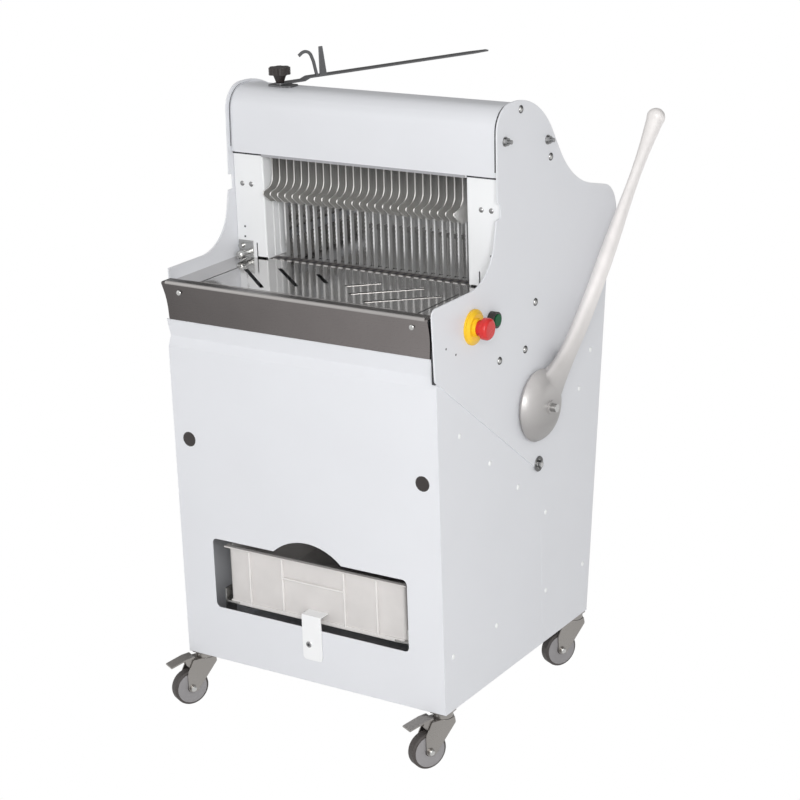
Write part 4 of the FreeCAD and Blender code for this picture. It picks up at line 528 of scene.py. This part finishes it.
def dome(work, at, outward, radius, rise):
    """A low dome on a face at a point; radius and rise are in millimetres."""
    squash = Matrix.Diagonal((radius * MILLIMETRE, radius * MILLIMETRE, rise * MILLIMETRE, 1.0))
    bmesh.ops.create_uvsphere(work, u_segments=16, v_segments=8, radius=1.0,
                              matrix=Matrix.Translation(at) @ facing(outward) @ squash)


def add_box(work, low, high):
    """A box between two corners given in millimetres on the machine."""
    a, b = on_machine(*low), on_machine(*high)
    size = Matrix.Diagonal((*(b - a), 1.0))
    bmesh.ops.create_cube(work, size=1.0, matrix=Matrix.Translation((a + b) / 2) @ size)


def round_bar(work, start, end, radius, segments=16):
    """A bar between two points of the scene; its radius is in millimetres."""
    bmesh.ops.create_cone(work, cap_ends=True, segments=segments, radius1=radius * MILLIMETRE,
                          radius2=radius * MILLIMETRE, depth=(end - start).length,
                          matrix=Matrix.Translation((start + end) / 2) @ facing(end - start))


print("simple shapes ready")

# %% [markdown]
# ## Rivets and apron screws
#
# Rivets hold the folded sheets of the cabinet, and two low domed screws hold the apron. The heads
# are made in one mesh per side, because dozens of tiny objects are hard to handle. The left side
# mirrors the right one.

# %% Rivets on the side panels
SIDES = ((1, "right"), (-1, "left"))
PANEL_X = 297.0
RIVETS = [(32, 206), (189, 206), (380, 206), (532, 206), (73, 621), (177, 536), (279, 455),
          (523, 580), (571, 646), (383, 369)]
HEAD_RADIUS = 5.2
# The rivet heads get the paler coat: painted highlight on the domes.
for side, label in SIDES:
    work = bmesh.new()
    for y, z in RIVETS:
        dome(work, on_machine(side * PANEL_X, y, z), (side, 0, 0), HEAD_RADIUS, rise=1.6)
    new_piece("side_rivets_" + label, work, pale_coat_and_highlight)
print("rivets:", 2 * len(RIVETS))

# %% Screws on the apron
APRON_FACE_Y, APRON_SCREW_X, APRON_SCREW_Z = -10.4, 256.0, 840.0
APRON_OUTWARD = (0, -1, 0.1)
work = bmesh.new()
for x in (-APRON_SCREW_X, APRON_SCREW_X):
    dome(work, on_machine(x, APRON_FACE_Y, APRON_SCREW_Z), APRON_OUTWARD, HEAD_RADIUS, rise=1.8)
new_piece("apron_screws", work, zinc)
print("apron screws at x", APRON_SCREW_X, "mm on both sides")

# %% [markdown]
# ## Seam in the side panel
#
# Each side is made of two sheets that meet at a vertical seam low down. A hairline ridge, about a
# millimetre wide, is all that shows of it. It is drawn in two lengths with a short break between.

# %% Side seams
SEAM_Y, SEAM_HALF_WIDTH, SEAM_HALF_RISE = 364.0, 0.6, 0.25
SEAM_HEIGHTS = ((101.0, 190.0), (222.0, 350.0))
for side, label in SIDES:
    work = bmesh.new()
    x = side * PANEL_X
    for low, high in SEAM_HEIGHTS:
        add_box(work, (x - SEAM_HALF_RISE, SEAM_Y - SEAM_HALF_WIDTH, low),
                (x + SEAM_HALF_RISE, SEAM_Y + SEAM_HALF_WIDTH, high))
    new_piece("side_seam_" + label, work, white_coat)
print("seams per side:", len(SEAM_HEIGHTS))

# %% [markdown]
# ## Lines that sheet metal leaves
#
# A hood that is folded over a frame never closes tight. A dark gap stays over each column, and
# the returned hem under its front edge lies in shade. Both are strips a few millimetres high and
# both are painted shade: near black over the columns, grey along the hem. Small pin holes in the
# columns and in the right cheek are shown by dark, almost flat domes of painted shade, since a real
# hole in the sheet would need a cut for every one of them.

# %% Gaps and hem under the hood
HOOD_EDGE_Z, STRIP_THICKNESS = 1058.0, 1.0
COLUMN_LEFT_EDGES, COLUMN_WIDTH = (-296.0, 229.0), 67.0
GAP_Y, GAP_LOW, GAP_HIGH = 231.2, HOOD_EDGE_Z - 4.0, HOOD_EDGE_Z - 0.4
HEM_END_X, HEM_Y, HEM_LOW, HEM_HIGH = 226.0, 227.3, HOOD_EDGE_Z - 5.0, HOOD_EDGE_Z + 1.0
work = bmesh.new()
for x in COLUMN_LEFT_EDGES:
    add_box(work, (x, GAP_Y, GAP_LOW), (x + COLUMN_WIDTH, GAP_Y + STRIP_THICKNESS, GAP_HIGH))
new_piece("hood_gaps", work, painted_gap_shade, smooth=False)
# grey strip of painted shade along the hood's hem
work = bmesh.new()
add_box(work, (-HEM_END_X, HEM_Y, HEM_LOW), (HEM_END_X, HEM_Y + STRIP_THICKNESS, HEM_HIGH))
new_piece("hood_hem", work, painted_hem_shade, smooth=False)
print("gaps over", len(COLUMN_LEFT_EDGES), "columns")

# %% Pin holes in the columns and the right cheek
FORWARD, RIGHTWARD = (0, -1, 0), (1, 0, 0)
PIN_HOLES = [((-277.0, 231.9, 911.0), FORWARD), ((-278.0, 231.9, 891.0), FORWARD),
             ((276.0, 231.9, 912.0), FORWARD), ((300.1, 31.0, 795.0), RIGHTWARD),
             ((300.1, 63.0, 776.0), RIGHTWARD)]
work = bmesh.new()
for place, outward in PIN_HOLES:
    dome(work, on_machine(*place), outward, radius=2.2, rise=0.3)
new_piece("pin_holes", work, painted_gap_shade)
print("pin holes:", len(PIN_HOLES))

# %% [markdown]
# ## Ribs of the crumb drawer
#
# The drawer is moulded. Its ribs catch more light than the wall behind them because their crests
# are round. A slim round cap, half let into every rib, shows that in a plastic paler than the
# drawer, as a painted highlight, and a hem of the same paler plastic runs along the drawer's lower
# edge. All of it rides on the drawer.

# %% Rib caps and lower hem
RIB_X, RIB_Y, RIB_HEIGHTS, RIB_RADIUS = (-151.0, -74.0, 68.0, 141.0), 19.6, (220.0, 330.0), 2.1
CROSS_RIB_ENDS, CROSS_RIB_Y, CROSS_RIB_Z, CROSS_RIB_RADIUS = (-72.0, 66.0), 19.0, 292.0, 1.8
DRAWER_HEM = ((-199.0, 19.5, 215.5), (199.0, 23.0, 223.0))
work = bmesh.new()
for x in RIB_X:
    round_bar(work, *(on_machine(x, RIB_Y, z) for z in RIB_HEIGHTS), RIB_RADIUS)
round_bar(work, *(on_machine(x, CROSS_RIB_Y, CROSS_RIB_Z) for x in CROSS_RIB_ENDS),
          CROSS_RIB_RADIUS)
add_box(work, *DRAWER_HEM)
new_piece("drawer_ribs", work, rib_plastic_highlight, body="drawer")
print("ribs:", len(RIB_X) + 1)

# %% [markdown]
# ## Captive screw of the drawer bracket
#
# The bracket is held by one screw that stays in it. Its head is a broad low dome, and the
# socket, which lies in shade, is a second, smaller dome of painted shade that stands just proud of
# the first.

# %% Captive screw
SCREW_X, SCREW_Z, BRACKET_FACE_Y, SOCKET_Y = -1.0, 180.0, -6.0, -7.1
work = bmesh.new()
dome(work, on_machine(SCREW_X, BRACKET_FACE_Y, SCREW_Z), FORWARD, radius=6.2, rise=1.2)
new_piece("bracket_screw", work, bolt_zinc, body="drawer")
work = bmesh.new()
dome(work, on_machine(SCREW_X, SOCKET_Y, SCREW_Z), FORWARD, radius=3.0, rise=0.4)
new_piece("bracket_screw_socket", work, painted_gap_shade, body="drawer")
print("captive screw at height", SCREW_Z, "mm")

# %% [markdown]
# ## Faces and nuts of the casters
#
# A caster wheel is made of two materials: a dark tyre and a lighter grey core. The core is a thin
# turned disc on each side. A lathe needs only half a section, and so does the spin operator,
# which turns an outline about the wheel's axle in small steps and merges its last step with its
# first. Each disc rides on its own wheel, so it rolls with it; the nuts ride on the fork and
# stand still.

# %% Helper that turns an outline about an axis
LATHE_STEPS = 40


def turned(work, outline, at, axis, steps=LATHE_STEPS):
    """Spins (radius, offset) pairs, in millimetres, about an axis through a point."""
    turn = facing(axis).to_3x3()
    points = [work.verts.new(at + turn @ Vector((r, 0.0, z)) * MILLIMETRE) for r, z in outline]
    edges = [work.edges.new(pair) for pair in zip(points, points[1:] + points[:1])]
    bmesh.ops.spin(work, geom=points + edges, cent=at, axis=Vector(axis), angle=2 * math.pi,
                   steps=steps, use_merge=True)


print("outlines are turned in steps of", 360 / LATHE_STEPS, "degrees")

# %% Wheel faces and axle nuts
TRAIL = Vector((-0.454, -0.891, 0.0)).normalized()
AXLE = Vector((-TRAIL.y, TRAIL.x, 0.0))
CASTERS = {"front_left": (-277.0, 23.0), "front_right": (277.0, 23.0),
           "rear_left": (-277.0, 528.0), "rear_right": (277.0, 528.0)}
HUB_Z, HUB_TRAIL, FACE_OUT, NUT_OUT = 28.0, 37.0, 11.0, 18.3
FACE = [(8.0, -1.5), (31.5, -1.5), (31.0, 0.35), (27.0, 0.7), (14.0, 0.7), (11.0, 0.2),
        (8.0, -0.6)]
NUT = [(0.05, 0.0), (5.5, 0.0), (5.5, 1.6), (4.2, 3.0), (0.05, 3.4)]
for corner, (x, y) in CASTERS.items():
    hub = on_machine(x, y, HUB_Z) + TRAIL * HUB_TRAIL * MILLIMETRE
    faces, nuts = bmesh.new(), bmesh.new()
    for outward in (-AXLE, AXLE):
        turned(faces, FACE, hub + outward * FACE_OUT * MILLIMETRE, outward)
        turned(nuts, NUT, hub + outward * NUT_OUT * MILLIMETRE, outward, steps=24)
    new_piece("wheel_core_" + corner, faces, wheel_core, body="wheel_" + corner)
    new_piece("axle_nuts_" + corner, nuts, zinc, body="fork_" + corner)
print("casters dressed:", len(CASTERS))

# %% [markdown]
# ## Teeth of the blades
#
# A bread blade has a wavy edge. Each wave is a triangle eight millimetres long, ground from both
# sides, and the edge is painted near white: partly the brighter ground steel, partly a painted
# highlight. A zigzag line is drawn first and then drawn back to each flank of the blade. The blades
# are shared out between two frames that move against each other; every second edge therefore rides
# on the other frame.

# %% Wavy blade edges
PITCH, BLADES = 17.0, 25
EDGE_Y, FLANK_BACK, FLANK_OUT = 264.2, 1.6, 1.1
TOOTH_LENGTH, CREST, VALLEY = 8.0, 2.6, 0.9
TEETH_LOW, TEETH_HIGH = 872.0, 1040.0


def vertices_of(drawn):
    """The new vertices in what an extrude operator gives back."""
    return [item for item in drawn["geom"] if isinstance(item, bmesh.types.BMVert)]


def wavy_edge(work, x):
    """A toothed strip round the front edge of one blade."""
    waves = int((TEETH_HIGH - TEETH_LOW) / TOOTH_LENGTH)
    zigzag = []
    for i in range(2 * waves + 1):
        reach = CREST if i % 2 else VALLEY
        z = TEETH_LOW + i * TOOTH_LENGTH / 2
        zigzag.append(work.verts.new(on_machine(x, EDGE_Y - reach, z)))
    edges = [work.edges.new(pair) for pair in zip(zigzag, zigzag[1:])]
    for side in (-1, 1):
        for vertex in vertices_of(bmesh.ops.extrude_edge_only(work, edges=edges)):
            vertex.co.x += side * FLANK_OUT * MILLIMETRE
            vertex.co.y = on_machine(x, EDGE_Y + FLANK_BACK, 0.0).y


for first, label in ((0, "front"), (1, "rear")):
    work = bmesh.new()
    for i in range(first, BLADES, 2):
        wavy_edge(work, (i - (BLADES - 1) / 2) * PITCH)
    new_piece("blade_edges_" + label, work, ground_steel_highlight, body=label + "_frame",
              smooth=False)
print("blade edges:", BLADES)

# %% [markdown]
# ## Comb in front of the blades
#
# The table ends in a comb that holds the loaf between the blades. From the front it looks like a
# matt strip with a dark slot for every gap and a short bright bar before it. The strip is painted
# dark brown, partly the comb's matt steel and partly painted shade under the blades, and the slots
# are near-black painted shade. Flat strips a few tenths of a millimetre thick, each a little higher
# than the one below, give that with very few faces.

# %% Matt strip, slots and lights of the comb
TABLE_Z = 851.0
STRIP_END_X, STRIP_Y, STRIP_HIGH = 224.0, (236.5, 261.5), TABLE_Z + 0.25
SLOT_HALF, SLOT_Y, SLOT_LOW, SLOT_HIGH = 3.6, (241.0, 256.0), TABLE_Z + 0.2, TABLE_Z + 0.45
LIGHT_HALF, LIGHT_Y, LIGHT_HIGH = 4.6, (236.0, 238.0), TABLE_Z + 1.0
GAP_CENTRES = [(i - BLADES / 2) * PITCH for i in range(BLADES + 1)]
work = bmesh.new()
add_box(work, (-STRIP_END_X, STRIP_Y[0], TABLE_Z), (STRIP_END_X, STRIP_Y[1], STRIP_HIGH))
new_piece("comb_shade", work, matt_steel_and_shade, smooth=False)
slots, lights = bmesh.new(), bmesh.new()
for x in GAP_CENTRES:
    add_box(slots, (x - SLOT_HALF, SLOT_Y[0], SLOT_LOW), (x + SLOT_HALF, SLOT_Y[1], SLOT_HIGH))
    add_box(lights, (x - LIGHT_HALF, LIGHT_Y[0], TABLE_Z), (x + LIGHT_HALF, LIGHT_Y[1], LIGHT_HIGH))
new_piece("comb_slots", slots, painted_gap_shade, smooth=False)
new_piece("comb_lights", lights, edge_steel, smooth=False)
print("comb gaps:", len(GAP_CENTRES))

# %% [markdown]
# ## Lips of the table's slots, and the rolled bars
#
# The three slots on the right have a polished lip along one side: a low strip, turned in line
# with its slot. The table's front edge is rolled over a bar that the loaves rub bright, and a
# second bar lies behind it.

# %% Slot lips
SLOTS = [((114.0, 58.0), (218.0, 150.0)), ((60.0, 93.0), (161.0, 182.0)),
         ((23.0, 136.0), (70.0, 178.0))]
LIP_Z, LIP_FROM_SLOT, LIP_WIDTH, LIP_HEIGHT = TABLE_Z + 0.2, 4.9, 2.6, 0.8
work = bmesh.new()
for near, far in SLOTS:
    start, end = on_machine(*near, LIP_Z), on_machine(*far, LIP_Z)
    run = end - start
    across = Vector((run.y, -run.x, 0.0)).normalized()
    middle = (start + end) / 2 + across * LIP_FROM_SLOT * MILLIMETRE
    turn = Matrix.Rotation(math.atan2(run.y, run.x), 4, "Z")
    size = Matrix.Diagonal((run.length, LIP_WIDTH * MILLIMETRE, LIP_HEIGHT * MILLIMETRE, 1.0))
    bmesh.ops.create_cube(work, size=1.0, matrix=Matrix.Translation(middle) @ turn @ size)
new_piece("slot_lips", work, bar_steel, smooth=False)
print("slot lips:", len(SLOTS))

# %% Rolled bars
BARS = [(285.0, -9.0, TABLE_Z + 5.4, 4.2), (226.0, 19.0, TABLE_Z + 3.0, 4.3)]
work = bmesh.new()
for end_x, y, z, radius in BARS:
    round_bar(work, on_machine(-end_x, y, z), on_machine(end_x, y, z), radius)
new_piece("front_bars", work, bar_steel)
print("bars:", len(BARS))

# %% [markdown]
# ## Seam at the hood's ends
#
# The hood's skin turns into its end flanges a few millimetres inside the cheek plates. The gap
# between the two sheets lies in shade, and a dark line of painted shade follows the outline of the
# hood. A small rectangle is drawn along that outline, one step after another, and the faces left
# inside are taken out again.

# %% Seam between hood and cheek plates
CROWN_Y, CROWN_Z, CROWN_RADIUS, CROWN_STEPS = 273.6, 1137.0, 45.2, 12
SEAM_WIDTH, SEAM_DEPTH, SEAM_X = 2.2, 1.2, (-298.6, 289.6)


def drawn_out(work, outline, steps):
    """Draws a face out by one step after another, and gives back the last face's corners."""
    caps = [work.faces.new([work.verts.new(point) for point in outline])]
    for step in steps:
        drawn = bmesh.ops.extrude_face_region(work, geom=[caps[-1]])
        caps.append(next(item for item in drawn["geom"] if isinstance(item, bmesh.types.BMFace)))
        bmesh.ops.translate(work, verts=vertices_of(drawn), vec=step)
    bmesh.ops.delete(work, geom=caps[1:-1], context="FACES_ONLY")
    return list(caps[-1].verts)


def hood_outline():
    """Points (y, z) along the hood's skin, from the front edge over the crown."""
    points = [(226.4, 1068.0), (227.8, 1120.0)]
    for i in range(CROWN_STEPS + 1):
        angle = math.radians(180.0 - 90.0 * i / CROWN_STEPS)
        points.append((CROWN_Y + CROWN_RADIUS * math.cos(angle),
                       CROWN_Z + CROWN_RADIUS * math.sin(angle)))
    return points + [(300.0, CROWN_Z + CROWN_RADIUS)]


work = bmesh.new()
for x in SEAM_X:
    path = [on_machine(x, y, z) for y, z in hood_outline()]
    section = [path[0] + Vector((dx, dy, 0.0)) * MILLIMETRE for dx, dy in
               ((0, 0), (SEAM_WIDTH, 0), (SEAM_WIDTH, SEAM_DEPTH), (0, SEAM_DEPTH))]
    drawn_out(work, section, [b - a for a, b in zip(path, path[1:])])
new_piece("hood_seams", work, painted_gap_shade, smooth=False)
print("seams at the hood's ends:", len(SEAM_X))

# %% [markdown]
# ## Folds of the columns
#
# Each column is folded from one sheet, and two folds run down its inner wall beside the blades.
# They are narrow strips that stand one millimetre proud and catch the light from the front; their
# paler paint is a painted highlight.

# %% Folds on the inner walls of the columns
FOLD_X, FOLD_RISE, FOLD_WIDTH, FOLD_Y = 226.8, 1.0, 3.0, (258.0, 276.0)
FOLD_LOW, FOLD_HIGH = 853.0, 1055.0
work = bmesh.new()
for left, right in ((-FOLD_X, FOLD_RISE - FOLD_X), (FOLD_X - FOLD_RISE, FOLD_X)):
    for y in FOLD_Y:
        add_box(work, (left, y, FOLD_LOW), (right, y + FOLD_WIDTH, FOLD_HIGH))
new_piece("column_folds", work, pale_coat_and_highlight, smooth=False)
print("folds:", 2 * len(FOLD_Y))

# %% [markdown]
# ## Tongues of the brake pedals
#
# A pressed brake pedal is one strip of steel. Two ears go down to the cross pin, and the strip
# above them slopes over the wheel so that a toe can reach it. The shape is drawn as side views in
# the plane of the wheel, each drawn out across the wheel by its own thickness.

# %% Pressed pedals
TONGUE = [(29.0, 93.6), (46.0, 92.0), (79.4, 82.6), (80.0, 80.2), (78.6, 80.0), (45.0, 89.4),
          (29.0, 91.0)]
EAR = [(31.0, 92.0), (31.0, 68.0), (34.0, 65.6), (38.0, 67.0), (47.0, 82.0), (48.0, 90.0)]
TONGUE_HALF_WIDTH, EAR_OUT, EAR_THICKNESS = 13.4, 11.8, 2.0
PIN_Z, PIN_TRAIL, PIN_RADIUS, PIN_HALF_LENGTH = 70.0, 35.0, 4.0, 11.9


def side_view(work, corner, outline, low, high):
    """Draws (distance along the trail, height) pairs out across a caster, in millimetres."""
    x, y = CASTERS[corner]
    points = [on_machine(x, y, z) + (TRAIL * reach + AXLE * low) * MILLIMETRE
              for reach, z in outline]
    drawn_out(work, points, [AXLE * (high - low) * MILLIMETRE])


for corner in ("front_left", "front_right"):
    work = bmesh.new()
    side_view(work, corner, TONGUE, -TONGUE_HALF_WIDTH, TONGUE_HALF_WIDTH)
    for low in (-EAR_OUT, EAR_OUT - EAR_THICKNESS):
        side_view(work, corner, EAR, low, low + EAR_THICKNESS)
    pin = on_machine(*CASTERS[corner], PIN_Z) + TRAIL * PIN_TRAIL * MILLIMETRE
    reach = AXLE * PIN_HALF_LENGTH * MILLIMETRE
    round_bar(work, pin - reach, pin + reach, PIN_RADIUS, segments=20)
    pedal = new_piece("pedal_tongue_" + corner, work, fork_steel,
                      body="pedal_" + corner, smooth=False)
    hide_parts("brake_pedal_" + corner)
print("pedals done")

# %% [markdown]
# ## Screw heads and washers on the sides
#
# A domed screw shows a bright crown and a dark crescent where it turns away from the light. The
# same holds for the large washer below the lever. Each head is made of two caps: a dark rim of
# painted shade, and a crown of bright zinc, paler than the plain screws, a little higher and
# further forward as a painted highlight. The washer is painted shade too. This keeps it readable
# from far away.

# %% Screw crowns and washers
CHEEK_X = 300.0
SCREWS = [(348.0, 800.0), (307.0, 719.0), (213.0, 723.0), (305.0, 1169.0), (413.0, 1062.0)]
RIM_SHIFT, RIM_RADIUS, RIM_RISE = (0.1, 0.9, 0.0), 7.6, 3.2
CROWN_SHIFT, CROWN_HEAD_RADIUS, CROWN_RISE = (0.6, -1.8, 0.6), 5.2, 3.6
TIP_BOLT, TIP_CROWN_X = (352.0, 479.0), CHEEK_X + 7.4
WASHER = [(9.5, 1.4), (15.2, 1.4), (14.6, 2.3), (9.5, 2.3)]
for side, label in SIDES:
    outward = Vector((side, 0, 0))
    rims, crowns = bmesh.new(), bmesh.new()
    for y, z in SCREWS:
        for work, (dx, dy, dz), radius, rise in ((rims, RIM_SHIFT, RIM_RADIUS, RIM_RISE),
                                                 (crowns, CROWN_SHIFT, CROWN_HEAD_RADIUS,
                                                  CROWN_RISE)):
            at = on_machine(side * (CHEEK_X + dx), y + dy, z + dz)
            dome(work, at, outward, radius, rise)
    turned(rims, WASHER, on_machine(side * CHEEK_X, *TIP_BOLT), outward)
    dome(crowns, on_machine(side * TIP_CROWN_X, *TIP_BOLT), outward, radius=5.6, rise=1.6)
    new_piece("screw_rims_" + label, rims, screw_shade_steel)
    new_piece("screw_crowns_" + label, crowns, zinc)
print("screws dressed:", 2 * len(SCREWS))

# %% [markdown]
# ## Plugs in the front panel and the gap beside the apron
#
# Two press-in plugs close holes in the front panel, each with a low round flange. Beside the
# apron the cheek's folded edge leaves a narrow gap in shade, shown by one strip of painted shade.

# %% Plug flanges and apron gap
PLUG_X, PLUG_Y, PLUG_Z = 262.0, 0.2, 548.0
APRON_GAP = ((290.2, -3.2, 738.0), (296.6, -0.3, 800.0))
work = bmesh.new()
for x in (-PLUG_X, PLUG_X):
    dome(work, on_machine(x, PLUG_Y, PLUG_Z), FORWARD, radius=15.2, rise=1.6)
new_piece("plug_flanges", work, black_plastic)
work = bmesh.new()
add_box(work, *APRON_GAP)
new_piece("apron_gap", work, painted_gap_shade, smooth=False)
print("plugs and gap done")

# %% [markdown]
# ## Web between hub and arm
#
# The casting doesn't meet its hub at a sharp corner. A web fills the corner in one concave sweep.
# Its outer outline is a little lower and shorter than its inner one, so that the web fades into
# the arm. An extrusion would keep the size, so the two outlines are stitched together side by
# side, and a bevel rounds the outer rim.

# %% Web of the lever
WEB = [(350.0, 662.0), (379.5, 667.6), (399.9, 673.6), (415.6, 681.7), (428.1, 690.2),
       (453.2, 673.0), (414.9, 642.4), (357.5, 645.1)]
WEB_INNER_X, WEB_OUTER_X, WEB_DROP, WEB_TAPER, WEB_BEVEL = 308.0, 318.0, 3.0, 0.06, 3.0
HUB_Y = 352.0
work = bmesh.new()
inner = [work.verts.new(on_machine(WEB_INNER_X, y, z)) for y, z in WEB]
outer = [work.verts.new(on_machine(WEB_OUTER_X, y + WEB_TAPER * (HUB_Y - y), z - WEB_DROP))
         for y, z in WEB]
work.faces.new(inner)
work.faces.new(outer)
for j in range(len(WEB)):
    k = (j + 1) % len(WEB)
    work.faces.new((inner[j], inner[k], outer[k], outer[j]))
rim = [edge for edge in work.edges if all(vertex in outer for vertex in edge.verts)]
bmesh.ops.bevel(work, geom=rim, offset=WEB_BEVEL * MILLIMETRE, segments=3, profile=0.5,
                affect="EDGES", material=-1)
new_piece("lever_web", work, lever_metal, body="lever_unit")
print("web with", len(WEB), "corners")

# %% [markdown]
# ## Floor
#
# The machine stands on a seamless pale sheet. To the camera, and in reflections, the sheet is
# plain white; only ordinary soft light sees it as a pale surface, so that the machine keeps a
# soft shadow under it. A mix between a glowing and a plain shader, led by the kind of ray, does
# both.

# %% Floor
FLOOR_SIZE = 40.0


def seen_share(tree):
    """One for rays that look at a surface (camera, mirror or glass), and zero for soft light."""
    path = tree.nodes.new("ShaderNodeLightPath")
    total = path.outputs["Is Camera Ray"]
    for kind in ("Is Glossy Ray", "Is Transmission Ray"):
        either = tree.nodes.new("ShaderNodeMath")
        either.operation = "MAXIMUM"
        tree.links.new(total, either.inputs[0])
        tree.links.new(path.outputs[kind], either.inputs[1])
        total = either.outputs[0]
    return total


work = bmesh.new()
bmesh.ops.create_grid(work, x_segments=1, y_segments=1, size=FLOOR_SIZE)
floor_mesh = bpy.data.meshes.new("floor")
work.to_mesh(floor_mesh)
work.free()
floor_material, tree, shader = new_finish("pale_floor", (0.86, 0.86, 0.86), roughness=0.8)
glow = tree.nodes.new("ShaderNodeEmission")
glow.inputs["Strength"].default_value = 1.0
mix = tree.nodes.new("ShaderNodeMixShader")
tree.links.new(seen_share(tree), mix.inputs["Fac"])
tree.links.new(shader.outputs["BSDF"], mix.inputs[1])
tree.links.new(glow.outputs["Emission"], mix.inputs[2])
tree.links.new(mix.outputs["Shader"], tree.nodes["Material Output"].inputs["Surface"])
floor_mesh.materials.append(floor_material)
floor = add_object("floor", floor_mesh)
print("floor", FLOOR_SIZE, "metres from the middle to each side")

# %% [markdown]
# ## Air
#
# The surroundings are an even white sky. The camera sees it at full strength, and soft light gets
# half of that. Mirror-like steel looks best with something dark to reflect, so the air behind the
# machine is grey to a reflection, and white in front and at the sides.

# %% Air
AMBIENT, SEEN_BY_CAMERA = 0.50, 1.0
BEHIND_STARTS, BEHIND_ENDS, IN_FRONT, BEHIND = 0.15, 0.65, 1.0, 0.22
world = bpy.data.worlds.new("studio_air")
bpy.context.scene.world = world
world.use_nodes = True
tree = world.node_tree
air = tree.nodes["Background"]
air.inputs["Color"].default_value = (1.0, 1.0, 1.0, 1.0)
direction = tree.nodes.new("ShaderNodeTexCoord")
parts = tree.nodes.new("ShaderNodeSeparateXYZ")
tree.links.new(direction.outputs["Generated"], parts.inputs["Vector"])
mirrored = map_range(tree, parts.outputs["Y"], BEHIND_STARTS, BEHIND_ENDS, IN_FRONT, BEHIND)
rays = tree.nodes.new("ShaderNodeLightPath")
for_mirrors = tree.nodes.new("ShaderNodeMix")
for_mirrors.inputs["A"].default_value = AMBIENT
tree.links.new(mirrored, for_mirrors.inputs["B"])
tree.links.new(rays.outputs["Is Glossy Ray"], for_mirrors.inputs["Factor"])
for_camera = tree.nodes.new("ShaderNodeMix")
for_camera.inputs["B"].default_value = SEEN_BY_CAMERA
tree.links.new(for_mirrors.outputs["Result"], for_camera.inputs["A"])
tree.links.new(rays.outputs["Is Camera Ray"], for_camera.inputs["Factor"])
tree.links.new(for_camera.outputs["Result"], air.inputs["Strength"])
print("soft light from the air:", AMBIENT)

# %% [markdown]
# ## Lamps
#
# One large soft lamp stands beside the camera and reaches into the throat between the columns. A
# weak one on the left keeps that side from going flat. Large lamps give soft shadows; a small
# strong one would draw hard edges on the white sheet.

# %% Lamps
def soft_lamp(name, at, aim, size, watts):
    """A square lamp at one point that shines towards another."""
    light = bpy.data.lights.new(name, "AREA")
    light.shape = "SQUARE"
    light.size = size
    light.energy = watts
    at, aim = Vector(at), Vector(aim)
    turn = (aim - at).to_track_quat("-Z", "Y").to_matrix().to_4x4()
    add_object(name, light).matrix_world = Matrix.Translation(at) @ turn


soft_lamp("key_lamp", at=(2.35, -3.3, 2.05), aim=(0.0, 0.0, 0.75), size=1.6, watts=96.0)
soft_lamp("left_fill", at=(-2.4, -2.2, 1.8), aim=(0.0, 0.0, 0.7), size=2.0, watts=6.0)
print("lamps:", len(bpy.data.lights))
